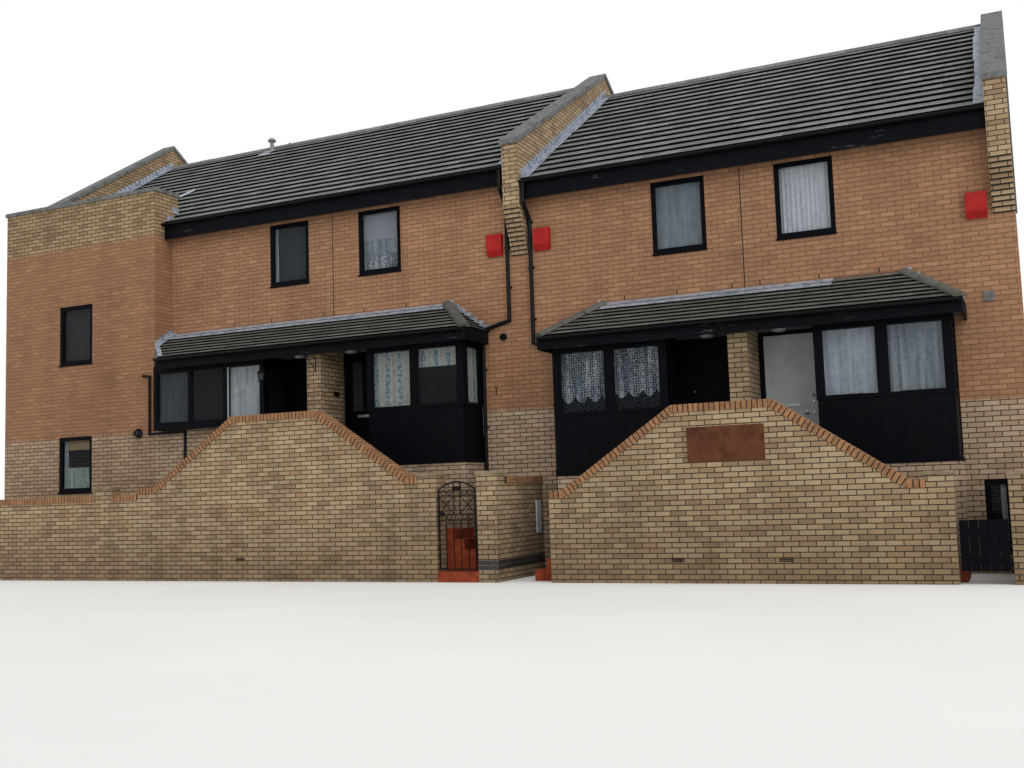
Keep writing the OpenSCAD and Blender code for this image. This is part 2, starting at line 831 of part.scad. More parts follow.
module bay_sheets(x0, x1, n, sill_z, lift, left_pane, right_pane) {
  w = pane_w(x0, x1, n);
  h = bay_head_z + lift - sill_z;
  y = -bay_out + (bay_t - glass_t) / 2;
  for (i = [0 : n - 1]) {
    block(x0 + bay_post + i * (w + bay_post), x0 + (i + 1) * (w + bay_post), y, y + glass_t,
          sill_z, sill_z + h);
  }
  if (left_pane) side_sheet(x0, sill_z, h);
  if (right_pane) side_sheet(x1 - bay_t, sill_z, h);
}

module side_sheet(x, z, h) {
  s = (bay_t - glass_t) / 2;
  block(x + s, x + s + glass_t, -bay_out + 2 * bay_post, -bay_post, z, z + h);
}

module left_bay_frames() {
  foot = left_sill_z - bay_rail;
  color("black") at_home() {
    bay_frame(-left_porch_x, -left_bay_gap, 2, left_sill_z, foot, step_up, true, true);
    bay_frame(-left_strip_end, -left_far_bay_x, 3, left_sill_z, base_z, step_up, false, true);
    block(-left_strip_end + bay_t, -left_far_bay_x - bay_t, -bay_out + bay_t, -block_out + wall_t,
          base_z, base_z + board_t);
  }
}

module right_bay_frames() {
  foot = bay_sill_z - bay_rail;
  color("black") at_home() {
    bay_frame(right_bay_gap, right_porch_x, 2, bay_sill_z, foot, 0, true, true);
    bay_frame(right_far_bay_x, right_strip_end, 2, bay_sill_z, foot, 0, true, true);
  }
}

// Boarded panels below the panes of a bay
module bay_panel(x0, x1, lift) {
  z0 = landing_z + lift;
  z1 = bay_sill_z + lift - bay_rail;
  s = (bay_t - panel_t) / 2;
  block(x0 + s, x1 - s, -bay_out + s, -bay_out + bay_t, z0, z1);
  block(x0 + s, x0 + bay_t, -bay_out + bay_t, 0, z0, z1);
  block(x1 - bay_t, x1 - s, -bay_out + bay_t, 0, z0, z1);
}

module bay_panels() {
  color("black") at_home() {
    bay_panel(-left_porch_x, -left_bay_gap, step_up);
    bay_panel(right_bay_gap, right_porch_x, 0);
    bay_panel(right_far_bay_x, right_strip_end, 0);
  }
}

module bay_glass() {
  color("lightblue") at_home() {
    bay_sheets(-left_porch_x, -left_bay_gap, 2, left_sill_z, step_up, true, true);
    bay_sheets(-left_strip_end, -left_far_bay_x, 3, left_sill_z, step_up, false, true);
    bay_sheets(right_bay_gap, right_porch_x, 2, bay_sill_z, 0, true, true);
    bay_sheets(right_far_bay_x, right_strip_end, 2, bay_sill_z, 0, true, true);
  }
}

// The lean-to over bays and porches, hipped at its open ends
module lean_to(x0, x1, lift, open_left) {
  z0 = lintel_z + lift;
  z1 = bay_eaves_z + lift;
  z2 = bay_top_z + lift;
  left_side = [[x0, z0], [x0, z1], [x0 + (open_left ? hip_run : 0), z2]];
  right_side = [[x1 - hip_run, z2], [x1, z1], [x1, z0]];
  intersection() {
    along_x(x0, x1) polygon([[-bay_eaves_y, z0], [-bay_eaves_y, z1], [0, z2], [0, z0]]);
    along_y(-bay_eaves_y, 0)
      polygon(concat(open_left ? left_side : [[x0, z0], [x0, z2]], right_side));
  }
}

// The left roof's corner is cut off on the skew beside the end house
module left_bay_roof() {
  color("gray") at_home() difference() {
    lean_to(x_block, left_bay_roof_x1, step_up, false);
    linear_extrude(height = bay_top_z + step_up) polygon([
      [x_block - 1, -block_out], [x_block, -block_out], [left_gutter_x0, -bay_eaves_y],
      [left_gutter_x0, -bay_eaves_y - 1], [x_block - 1, -bay_eaves_y - 1]
    ]);
    block(left_low_pipe_x - notch_w, left_bay_roof_x1 + 1, -notch_y, 1, 0, bay_top_z + step_up);
  }
}

module right_bay_roof() {
  color("gray") at_home() lean_to(right_bay_roof_x0, right_bay_roof_x1, 0, true);
}

// Porches and doors

module porch_pier(x_mid, lift) {
  block(x_mid - porch_pier_w / 2, x_mid + porch_pier_w / 2, -bay_out, wall_t,
        entrance_z + lift, lintel_z + lift);
  block(x_mid - porch_pier_w / 2, x_mid + porch_pier_w / 2, -bay_out, 0,
        landing_z + lift, entrance_z + lift);
}

module porch_piers() {
  color("wheat") at_home() {
    porch_pier(-left_porch_x - porch_w / 2, step_up);
    porch_pier(right_porch_x + porch_w / 2, 0);
  }
}

// A door frame with its stop, in a doorway that starts at x0
module door_frame(x0, lift) {
  x1 = x0 + doorway_w;
  z0 = entrance_z + lift;
  z1 = lintel_z + lift;
  head = z1 - door_head_w;
  difference() {
    block(x0, x1, 0, frame_depth, z0, z1);
    block(x0 + door_frame_w, x1 - door_frame_w, -1, frame_depth + 1, z0 - 1, head);
  }
  difference() {
    block(x0 + door_frame_w, x1 - door_frame_w, 0, door_set - door_gap, z0, head);
    block(x0 + door_frame_w + stop_w, x1 - door_frame_w - stop_w, -1, door_set, z0 - 1,
          head - stop_w);
  }
}

// Fixed half of a hinge: plate, lower knuckle and pin. The leaf lies towards side
module fixed_hinge(x, z, side) {
  translate([x, hinge_y, z]) {
    cylinder(r = knuckle_r, h = knuckle_h);
    cylinder(r = hinge_pin_r, h = 2 * knuckle_h);
  }
  block(min(x, x - side * plate_l), max(x, x - side * plate_l), frame_depth, hinge_y,
        z, z + knuckle_h);
}

// Moving half: upper knuckle with its bore, and a plate on the leaf
module leaf_hinge(x, z, side) {
  z0 = z + knuckle_h + pin_gap;
  difference() {
    union() {
      translate([x, hinge_y, z0]) cylinder(r = knuckle_r, h = knuckle_h);
      block(min(x, x + side * plate_l), max(x, x + side * plate_l), frame_depth, hinge_y,
            z0, z0 + knuckle_h);
    }
    translate([x, hinge_y, z]) cylinder(r = hinge_pin_r + pin_gap, h = 3 * knuckle_h);
  }
}

// x of the hinge axis of a doorway that starts at x0
function axis_x(x0, side) = side > 0
  ? x0 + door_frame_w + door_gap / 2
  : x0 + doorway_w - door_frame_w - door_gap / 2;

// side is the side of the axis on which the leaf lies
module door_leaf(x0, side, lift) {
  lx = x0 + door_frame_w + door_gap;
  z0 = entrance_z + lift + door_gap;
  ax = axis_x(x0, side);
  knob_x = side > 0 ? lx + leaf_w - panel_in : lx + panel_in;
  difference() {
    block(lx, lx + leaf_w, door_set, door_set + door_t, z0, z0 + door_h);
    block(lx + panel_in, lx + leaf_w - panel_in, door_set - 1, door_set + panel_recess,
          z0 + low_panel[0], z0 + low_panel[1]);
    block(lx + panel_in, lx + leaf_w - panel_in, door_set - 1, door_set + panel_recess,
          z0 + high_panel_z, z0 + door_h - panel_in);
  }
  translate([knob_x, door_set, z0 + knob_z]) rotate([90, 0, 0]) {
    cylinder(r = spindle_r, h = spindle_l);
    translate([0, 0, spindle_l + knob_r / 3]) sphere(r = knob_r);
  }
  for (h = hinge_heights) leaf_hinge(ax, entrance_z + lift + h, side);
}

module door_frames() {
  color("black") at_home() {
    door_frame(left_door_1_x, step_up);
    door_frame(left_door_2_x, step_up);
    door_frame(right_door_1_x, 0);
    door_frame(right_door_2_x, 0);
    for (h = hinge_heights) {
      fixed_hinge(axis_x(left_door_1_x, -1), entrance_z + step_up + h, -1);
      fixed_hinge(axis_x(left_door_2_x, 1), entrance_z + step_up + h, 1);
      fixed_hinge(axis_x(right_door_1_x, -1), entrance_z + h, -1);
      fixed_hinge(axis_x(right_door_2_x, 1), entrance_z + h, 1);
    }
  }
}

module left_house_1_door() {
  color("black") at_home() door_leaf(left_door_1_x, -1, step_up);
}

module left_house_2_door() {
  color("black") at_home() door_leaf(left_door_2_x, 1, step_up);
}

module right_house_1_door() {
  color("black") at_home() door_leaf(right_door_1_x, -1, 0);
}

module right_house_2_door() {
  color("lightgray") at_home() door_leaf(right_door_2_x, 1, 0);
}

// Windows: [x, y of the outer wall face, inward direction, z, width, height]

windows = concat(
  [for (x = right_windows) [x, 0, 1, window_sill_z, window_w, window_h]],
  [for (x = left_windows) [x, 0, 1, window_sill_z + step_up, window_w, window_h]],
  [[block_window_x0, -block_out, 1, block_low_sill_z, window_w, block_low_h],
   [block_window_x0, -block_out, 1, block_mid_sill_z, window_w, block_mid_h],
   [area_x0, 0, 1, area_sill_z, area_window_w, area_window_h]],
  [for (x = right_windows, z = [rear_sill_z, window_sill_z])
     [x, depth, -1, z, window_w, window_h]],
  [for (x = left_rear_windows, z = [rear_sill_z, window_sill_z])
     [x, depth, -1, z + step_up, window_w, window_h]]
);

module window_frame(spec) {
  y = spec[1] + spec[2] * (frame_set + frame_t / 2);
  translate([spec[0], y - frame_t / 2, spec[3]]) difference() {
    cube([spec[4], frame_t, spec[5]]);
    translate([frame_w, -1, frame_w])
      cube([spec[4] - 2 * frame_w, frame_t + 2, spec[5] - 2 * frame_w]);
  }
}

module window_sheet(spec) {
  y = spec[1] + spec[2] * (frame_set + frame_t / 2);
  translate([spec[0] + frame_w, y - glass_t / 2, spec[3] + frame_w])
    cube([spec[4] - 2 * frame_w, glass_t, spec[5] - 2 * frame_w]);
}

module window_frames() {
  color("black") at_home() for (spec = windows) window_frame(spec);
}

module window_glass() {
  color("lightblue") at_home() for (spec = windows) window_sheet(spec);
}

// Stair walls and steps

// Upper line of a stair wall: low flat, slope, upper flat, slope, low flat
function stair_line(x0, x1, x2, x3, low, high) = [
  [x0, low], [x1 - flight_run, low], [x1, high], [x2, high], [x2 + flight_run, low], [x3, low]
];

// The same line moved out by h, with mitred corners
function lifted(line, h) =
  let (half = atan((line[2][1] - line[1][1]) / flight_run) / 2, m = h * tan(half))
  [for (i = [0 : 5])
    [line[i][0] + (i == 1 || i == 2 ? -m : i == 3 || i == 4 ? m : 0), line[i][1] + h]];

left_line = stair_line(left_wall_x0, left_flat_x0, left_flat_x1, left_wall_x1,
                       platform_z + step_up + low_guard_h - edge_h,
                       landing_z + step_up + guard_h - edge_h);
right_line = stair_line(right_wall_x0, right_flat_x0, right_flat_x1, right_wall_x1,
                        platform_z + low_guard_h - edge_h, landing_z + guard_h - edge_h);

function reversed(line) = [for (i = [len(line) - 1 : -1 : 0]) line[i]];

module stair_wall(line) {
  along_y(-stair_wall_out, -stair_in)
    polygon(concat(line, [[line[5][0], 0], [line[0][0], 0]]));
}

module stair_coping(line) {
  along_y(-stair_wall_out - edge_out, -stair_in + edge_out)
    polygon(concat(lifted(line, edge_h), reversed(line)));
}

module left_stair_wall() {
  color("wheat") at_home() stair_wall(left_line);
}

module right_stair_wall() {
  panel_d = 20;
  panel_up = 75;
  color("wheat") at_home() difference() {
    stair_wall(right_line);
    block(right_stair_x - panel_w / 2, right_stair_x + panel_w / 2,
          -stair_wall_out - 1, -stair_wall_out + panel_d, landing_z + panel_up,
          landing_z + panel_up + panel_h);
  }
}

module stair_copings() {
  color("sienna") at_home() {
    stair_coping(left_line);
    stair_coping(right_line);
  }
}

// One half of a twin flight, down from the landing's edge at x towards direction d: the stairs,
// the platform behind the stair wall's low end, and the entry steps beyond end_x
module flight(x, d, z_land, entry, entry_h, wall_x, end_x) {
  z_low = z_land - flight_rise;
  for (i = [1 : risers - 1]) {
    tread(x + d * (i - 1) * going, x + d * i * going, stair_in, z_land - i * riser_h);
  }
  tread(x + d * (risers - 1) * going, wall_x, stair_in, z_low);
  tread(wall_x, end_x, pier_back, z_low);
  for (i = [1 : entry - 1]) {
    tread(end_x + d * (i - 1) * entry_going, end_x + d * i * entry_going, pier_back,
          z_low - i * entry_h);
  }
}

module tread(xa, xb, out, z) {
  block(min(xa, xb), max(xa, xb), -out, -bay_out, 0, z);
}

module landing(x0, x1, porch_x0, porch_x1, z) {
  block(x0, x1, -stair_in, -bay_out, 0, z);
  block(porch_x0, porch_x1, -bay_out, 0, 0, z);
}

module left_steps() {
  z = landing_z + step_up;
  entry_x = gate_x1 - (left_entry_risers - 2) * entry_going - 10;
  color("firebrick") at_home() {
    landing(left_flat_x0, left_flat_x1, -left_far_bay_x, -left_porch_x, z);
    flight(left_flat_x1, 1, z, left_entry_risers - 1, left_entry_rise, left_wall_x1, entry_x);
    flight(left_flat_x0, -1, z, left_entry_risers - 1, left_entry_rise, left_wall_x0,
           left_wall_x0 - 10);
    block(gate_x1 - 10, yard_x0, -pier_back, -bay_out, 0, left_entry_rise);
    block(gate_x0, gate_x1, -pier_front, -pier_back, 0, left_entry_rise);
  }
}

module right_steps() {
  color("firebrick") at_home() {
    landing(right_flat_x0, right_flat_x1, right_porch_x, right_far_bay_x, landing_z);
    flight(right_flat_x1, 1, landing_z, entry_risers, entry_rise, right_wall_x1,
           right_wall_x1 + 10);
    flight(right_flat_x0, -1, landing_z, entry_risers, entry_rise, right_wall_x0,
           right_wall_x0 - 10);
  }
}

// Garden walls, piers and gates

module gate_pier(x, z) {
  block(x, x + gate_pier_w, -pier_front, -pier_back, 0, z);
}

module pier_cap(x, z, w) {
  block(x - cap_out, x + w + cap_out, -pier_front - cap_out, -pier_back + cap_out, z, z + cap_h);
}

// A brick-on-edge coping on a straight wall
module edge_coping(x0, x1, y0, y1, z) {
  block(x0, x1, y0 - edge_out, y1 + edge_out, z - edge_h, z);
}

module garden_walls() {
  color("wheat") at_home() {
    gate_pier(gate_x0 - gate_pier_w, gate_pier_z);
    gate_pier(gate_x1, gate_pier_z);
    gate_pier(right_wall_x1, low_pier_z);
    gate_pier(board_gate_x1, last_pier_z);
    block(yard_x0, yard_x1, -pier_back, 0, 0, yard_z - edge_h);
    block(x_last - garden_t, x_last, -pier_back, 0, 0, end_wall_z - edge_h);
    block(x_gable, garden_pier_x, -stair_wall_out, -stair_in, 0, garden_z - edge_h);
    block(garden_pier_x, garden_pier_x + garden_pier_w, -pier_front, -stair_in, 0, gate_pier_z);
    block(garden_pier_x + garden_pier_w, left_wall_x0, -stair_wall_out, -stair_in, 0,
          garden_z - edge_h);
  }
}

module garden_copings() {
  color("gray") at_home() {
    pier_cap(gate_x0 - gate_pier_w, gate_pier_z, gate_pier_w);
    pier_cap(gate_x1, gate_pier_z, gate_pier_w);
    pier_cap(right_wall_x1, low_pier_z, gate_pier_w);
    pier_cap(board_gate_x1, last_pier_z, gate_pier_w);
    block(garden_pier_x - cap_out, garden_pier_x + garden_pier_w + cap_out,
          -pier_front - cap_out, -stair_in + cap_out, gate_pier_z, gate_pier_z + cap_h);
    block(yard_x0 - edge_out, yard_x1 + edge_out, -pier_back + cap_out, 0, yard_z - edge_h, yard_z);
    block(x_last - garden_t - edge_out, x_last + edge_out, -pier_back, 0,
          end_wall_z - edge_h, end_wall_z);
    edge_coping(x_gable, garden_pier_x, -stair_wall_out, -stair_in, garden_z);
    edge_coping(garden_pier_x + garden_pier_w, left_wall_x0, -stair_wall_out, -stair_in, garden_z);
  }
}

// Pintles that hold a gate: a lug on the pier with an upright pin
pintle_heights = [90, 600];

module pintle(x, z) {
  translate([x, gate_y, z]) {
    cylinder(r = eye_r, h = eye_h);
    cylinder(r = pin_r, h = 2 * eye_h);
  }
  block(x, x + hinge_gap / 2, gate_y - eye_r / 2, gate_y + eye_r / 2, z, z + eye_h);
}

module gate_eye(x, z) {
  z0 = z + eye_h + pin_gap;
  difference() {
    union() {
      translate([x, gate_y, z0]) cylinder(r = eye_r, h = eye_h);
      block(x - hinge_gap / 2 - lap, x, gate_y - eye_r / 3, gate_y + eye_r / 3, z0, z0 + eye_h);
    }
    translate([x, gate_y, z]) cylinder(r = pin_r + pin_gap, h = 3 * eye_h);
  }
}

module gate_pintles() {
  color("black") at_home() {
    for (h = pintle_heights) {
      pintle(gate_x1 - hinge_gap / 2, gate_foot_z + h);
      pintle(board_gate_x1 - hinge_gap / 2, board_gate_foot_z + h / 2);
    }
  }
}

// Ironwork of the gate, drawn in X and Z from the foot of its left stile
gate_leaf_w = gate_w - 2 * hinge_gap;
arch_r = (gate_leaf_w * gate_leaf_w / 4 + gate_arch * gate_arch) / (2 * gate_arch);
rail_1 = gate_side_h - 2 * ring_r - thin_bar;
rail_2 = rail_1 - 290;
lap = 2;
rail_3 = rail_2 - 2 * ring_r - thin_bar + 2 * lap;

module bar(x0, z0, x1, z1, t) {
  run = [x1 - x0, z1 - z0];
  translate([x0, z0]) rotate(atan2(run[1], run[0])) translate([0, -t / 2]) square([norm(run), t]);
}

module ring(x, z) {
  translate([x, z]) difference() {
    circle(r = ring_r);
    circle(r = ring_r - thin_bar * 2 / 3);
  }
}

module gate_frame() {
  stile_h = gate_side_h - 3 * lap;
  square([gate_bar, stile_h]);
  translate([gate_leaf_w - gate_bar, 0]) square([gate_bar, stile_h]);
  square([gate_leaf_w, gate_bar]);
  intersection() {
    translate([gate_leaf_w / 2, gate_side_h + gate_arch - arch_r]) difference() {
      circle(r = arch_r, $fn = 96);
      circle(r = arch_r - gate_bar, $fn = 96);
    }
    translate([0, gate_side_h - gate_bar]) square([gate_leaf_w, 2 * gate_arch]);
  }
}

module gate_rails() {
  for (z = [gate_side_h - 2 * thin_bar, rail_1, rail_2, rail_3]) {
    translate([0, z]) square([gate_leaf_w, thin_bar]);
  }
  for (x = [1 : 4]) {
    translate([x * gate_leaf_w / 5 - thin_bar / 2, 0]) square([thin_bar, rail_3 + lap]);
  }
  for (x = [0.42, 0.58]) {
    translate([x * gate_leaf_w - thin_bar / 2, rail_2])
      square([thin_bar, gate_side_h + gate_arch - gate_bar - rail_2]);
  }
}

module gate_scrolls() {
  for (z = [rail_1, rail_3], x = [0.14, 0.3, 0.7, 0.86]) {
    ring(x * gate_leaf_w, z + thin_bar + ring_r - lap);
  }
  for (x = [0, 0.58]) {
    x0 = x * gate_leaf_w;
    x1 = x0 + 0.42 * gate_leaf_w;
    bar(x0, rail_2 + thin_bar, x1, rail_1, thin_bar);
    bar(x0, rail_1, x1, rail_2 + thin_bar, thin_bar);
  }
}

module iron_gate() {
  x0 = gate_x0 + hinge_gap;
  color("black") at_home() {
    translate([x0, gate_y + thin_bar / 2, gate_foot_z]) rotate([90, 0, 0])
      linear_extrude(height = thin_bar) {
        gate_rails();
        gate_scrolls();
      }
    translate([x0, gate_y + gate_bar / 2, gate_foot_z]) rotate([90, 0, 0])
      linear_extrude(height = gate_bar) gate_frame();
    block(x0 + gate_leaf_w / 2 - 75, x0 + gate_leaf_w / 2 + 75, gate_y - gate_bar / 2,
          gate_y + gate_bar / 2, gate_foot_z + gate_side_h - 20, gate_foot_z + gate_side_h + 50);
    block(x0 - lap, x0 + 90, gate_y - gate_bar, gate_y + gate_bar, gate_foot_z + rail_2 - 20,
          gate_foot_z + rail_2 + 45);
    for (h = pintle_heights) gate_eye(gate_x1 - hinge_gap / 2, gate_foot_z + h);
  }
}

// A ledged gate: upright boards with small gaps on two ledges
module boarded_gate() {
  x0 = board_gate_x0 + hinge_gap;
  w = board_gate_x1 - hinge_gap - x0;
  boards = 5;
  joint = 6;
  board_w = (w - (boards - 1) * joint) / boards;
  color("black") at_home() {
    for (i = [0 : boards - 1]) {
      block(x0 + i * (board_w + joint), x0 + i * (board_w + joint) + board_w,
            gate_y - gate_bar / 2, gate_y + 2, board_gate_foot_z, board_gate_foot_z + board_gate_h);
    }
    for (z = [100, 450]) {
      block(x0, x0 + w, gate_y, gate_y + gate_bar / 2, board_gate_foot_z + z,
            board_gate_foot_z + z + 80);
    }
    for (h = pintle_heights) gate_eye(board_gate_x1 - hinge_gap / 2, board_gate_foot_z + h / 2);
  }
}

// Fittings on the walls

// A box whose front is cut back below
module alarm_box(x, z) {
  along_x(x, x + alarm_w) polygon([
    [0, z], [0, z + alarm_h], [-alarm_t, z + alarm_h], [-alarm_t, z + alarm_h / 4], [-alarm_t / 3, z]
  ]);
}

module alarm_boxes() {
  color("red") at_home() {
    alarm_box(x_left - left_alarm_gap - alarm_w, alarm_z);
    alarm_box(x_right + right_alarm_gap, alarm_z);
    alarm_box(x_end - end_alarm_gap - alarm_w, alarm_z - 5 * course);
  }
}

module soffit_light(x, lift) {
  translate([x, -bay_out / 2, lintel_z + lift - soffit_light_h])
    cylinder(r = soffit_light_r, h = soffit_light_h);
}

module wall_lights() {
  color("gray") at_home() {
    translate([lamp_x, -block_out, lamp_z]) rotate([90, 0, 0]) cylinder(r = lamp_r, h = lamp_out);
    for (d = [-1, 1]) {
      soffit_light(-left_porch_x - porch_w / 2 + d * soffit_light_x, step_up);
      soffit_light(right_porch_x + porch_w / 2 + d * soffit_light_x, 0);
    }
  }
}

ground_floor();
upper_floors();
left_gable_wall();
mid_party_wall();
end_party_wall();
wall_copings();
block_front_wall();
block_side_wall();
block_coping();
left_front_lower_wall();
left_front_upper_wall();
right_front_lower_wall();
right_front_upper_wall();
left_rear_wall();
right_rear_wall();
left_roof();
right_roof();
ridge_tiles();
fascia_boards();
gutters();
downpipes();
left_bay_frames();
right_bay_frames();
bay_panels();
bay_glass();
left_bay_roof();
right_bay_roof();
porch_piers();
door_frames();
left_house_1_door();
left_house_2_door();
right_house_1_door();
right_house_2_door();
window_frames();
window_glass();
left_stair_wall();
right_stair_wall();
stair_copings();
left_steps();
right_steps();
garden_walls();
garden_copings();
gate_pintles();
iron_gate();
boarded_gate();
alarm_boxes();
wall_lights();
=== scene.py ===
"""Looks of a terraced house row: brickwork, roof tiles, lead, joinery, glass, curtains and ironwork."""

import math
import random

import bmesh
import bpy
from mathutils import Matrix, Vector


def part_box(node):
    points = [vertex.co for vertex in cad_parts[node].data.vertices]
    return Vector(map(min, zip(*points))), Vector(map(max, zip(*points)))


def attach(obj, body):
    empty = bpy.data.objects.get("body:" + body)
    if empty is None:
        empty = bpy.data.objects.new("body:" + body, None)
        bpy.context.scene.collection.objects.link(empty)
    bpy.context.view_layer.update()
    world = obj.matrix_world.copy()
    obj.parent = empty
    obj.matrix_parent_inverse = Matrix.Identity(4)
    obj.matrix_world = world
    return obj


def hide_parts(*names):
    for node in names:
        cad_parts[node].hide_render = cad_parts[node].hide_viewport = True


bl_info = {
    "name": "Terraced House Row",
    "version": (1, 0, 0),
    "blender": (4, 5, 0),
    "location": "View3D > Sidebar > House Row",
    "description": "Dresses a brick house row with its tiles, joinery, glass, curtains and ironwork",
    "category": "Object",
}

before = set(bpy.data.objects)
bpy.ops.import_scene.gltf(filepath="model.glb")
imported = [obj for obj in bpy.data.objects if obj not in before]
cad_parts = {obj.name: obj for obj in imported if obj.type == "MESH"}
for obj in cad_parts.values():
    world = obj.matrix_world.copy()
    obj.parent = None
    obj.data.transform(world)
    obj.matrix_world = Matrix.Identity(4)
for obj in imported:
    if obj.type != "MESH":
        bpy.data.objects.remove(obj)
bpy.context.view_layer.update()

ROW = "house_row"
MM = 0.001

# Millimetres are counted from the middle party wall's centre and from the pairs' front face
ORIGIN_X = sum(corner.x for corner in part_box("mid_party_wall")) / 2
ORIGIN_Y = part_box("right_front_upper_wall")[0].y

# Widths, depths and heights of the row that the dressing follows. PARTY is half a party wall,
# STEP_UP is how far the left houses stand above the right pair, and heights are the right pair's
PARTY = 150
GABLE_X, BLOCK_X, END_X = -11880, -7755, 7520
GABLE_IN, END_OUT = GABLE_X + 2 * PARTY, END_X + 2 * PARTY
BLOCK_Y, EAVES_Y, RIDGE_Y, REAR_Y = -500, -200, 4300, 8600
STEP_UP = 300
PITCH = math.radians(32.5)
EAVES_Z = 6700
ROOF_RUN = RIDGE_Y - EAVES_Y
ROOF_COURSES = 16
RETURN_END_Y = 190
BAY_CUT = 480
BAY_EDGE_Y, BAY_EDGE_Z, BAY_TOP_Z = -950, 3850, 4440
LEFT_BAY_END, RIGHT_BAY_START, RIGHT_BAY_END = -645, 710, 7050
HIP_RUN = 800
BAY_COURSES, BAY_TILE = 8, 32
TILE_W = 330
COURSE = 75
FIRST_BED = 50
BAND_Z = 2475
CORBELS, CORBEL_OUT = 11, 320
MIDDLE_FOOT, END_FOOT = 5450, 5150
WALL_FRONT, WALL_BACK, PIER_BACK = -1810, -1565, -1435
LOW_WALL_TOP, EDGE_H = 1435, 110
COPING_BED, COPING_PROUD = 8, 4
YARD_TOP, SIDE_TOP = 1620, 1350
WINDOW_W, WINDOW_H, SILL_Z = 905, 1200, 5170
RIGHT_WINDOWS, LEFT_WINDOWS = (2390, 4412), (-3295, -5317)

# Faces of a tile, by the order of its finishes: the back, the butt edge in painted shade and the nose with a
# painted highlight. NOSE is the part of a tile's bare length that is painted pale as a highlight
BACK, BUTT, HIGHLIGHT_NOSE = 0, 1, 2
NOSE = 0.18


def place(x, y, z):
    """The point at x, y, z millimetres, in metres in the frame of the solids."""
    return Vector((ORIGIN_X + x * MM, ORIGIN_Y + y * MM, z * MM))


def linear(colour):
    """An sRGB hex colour as linear red, green, blue and alpha."""
    channels = [int(colour[i : i + 2], 16) / 255 for i in (1, 3, 5)]
    return [c / 12.92 if c <= 0.04045 else ((c + 0.055) / 1.055) ** 2.4 for c in channels] + [1.0]


# Meshes


class Shape:
    """A mesh gathered from simple solids, with a tint and a material number for each face."""

    def __init__(self):
        self.points, self.faces, self.kinds, self.tints = [], [], [], []

    def add(self, points, faces, kind=0, tint=0.5):
        """Adds faces, all of one kind or of a list of kinds."""
        start = len(self.points)
        self.points += [place(*p) for p in points]
        self.faces += [[start + i for i in face] for face in faces]
        self.kinds += kind if isinstance(kind, list) else [kind] * len(faces)
        self.tints += [tint] * len(faces)

    def prism(self, low, high, kind=0, tint=0.5):
        """A closed solid between two rings of points."""
        n = len(low)
        sides = [[i, (i + 1) % n, n + (i + 1) % n, n + i] for i in range(n)]
        self.add(list(low) + list(high), [list(range(n)), list(range(n, 2 * n))] + sides, kind, tint)

    def box(self, x0, x1, y0, y1, z0, z1, kind=0, tint=0.5):
        ring = [(x0, y0), (x1, y0), (x1, y1), (x0, y1)]
        self.prism([(x, y, z0) for x, y in ring], [(x, y, z1) for x, y in ring], kind, tint)

    def along_x(self, outline, x0, x1, tint=0.5):
        self.prism([(x0, y, z) for y, z in outline], [(x1, y, z) for y, z in outline], tint=tint)

    def along_y(self, outline, y0, y1, tint=0.5):
        self.prism([(x, y0, z) for x, z in outline], [(x, y1, z) for x, z in outline], tint=tint)

    def tube(self, path, radius, sides=12):
        """A round bar along a path of points."""
        rings, path = [], [Vector(p) for p in path]
        for i, point in enumerate(path):
            ahead = (path[min(i + 1, len(path) - 1)] - path[max(i - 1, 0)]).normalized()
            side = ahead.orthogonal() if i == 0 else side - ahead * side.dot(ahead)
            side.normalize()
            up = ahead.cross(side)
            turns = [2 * math.pi * k / sides for k in range(sides)]
            rings.append([point + (side * math.cos(a) + up * math.sin(a)) * radius for a in turns])
        self.skin(rings)

    def turned(self, foot, axis, profile, sides=24):
        """A lathe-turned solid through (distance, radius) pairs along an axis from its foot."""
        foot, axis = Vector(foot), Vector(axis).normalized()
        side = axis.orthogonal().normalized()
        up = axis.cross(side)
        turns = [2 * math.pi * k / sides for k in range(sides)]
        spokes = [side * math.cos(a) + up * math.sin(a) for a in turns]
        self.skin([[foot + axis * d + spoke * r for spoke in spokes] for d, r in profile])

    def skin(self, rings):
        """A closed solid through rings of as many points each."""
        sides = len(rings[0])
        points = [p for ring in rings for p in ring]
        faces = [list(range(sides)), list(range(len(points) - sides, len(points)))]
        for r in range(len(rings) - 1):
            for k in range(sides):
                a, b = r * sides + k, r * sides + (k + 1) % sides
                faces.append([a, b, b + sides, a + sides])
        self.add(points, faces)

    def piece(self, name, materials, slot, body=ROW, replaces=(), bevel=0, smooth=False):
        """Turns the gathered faces into an object that rides on a body."""
        mesh = bpy.data.meshes.new(name)
        mesh.from_pydata(self.points, [], self.faces)
        mesh.attributes.new("tint", "FLOAT", "FACE").data.foreach_set("value", self.tints)
        mesh.polygons.foreach_set("material_index", self.kinds)
        work = bmesh.new()
        work.from_mesh(mesh)
        bmesh.ops.recalc_face_normals(work, faces=work.faces)
        work.to_mesh(mesh)
        work.free()
        for each in materials:
            mesh.materials.append(bpy.data.materials[each])
        obj = bpy.data.objects.new(name, mesh)
        bpy.context.scene.collection.objects.link(obj)
        if smooth:
            mesh.shade_smooth()
        if bevel:
            mod = obj.modifiers.new("worn edges", "BEVEL")
            mod.width, mod.segments, mod.limit_method = bevel * MM, 2, "ANGLE"
        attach(obj, body)
        if replaces:
            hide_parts(*replaces)
        return obj


# Materials


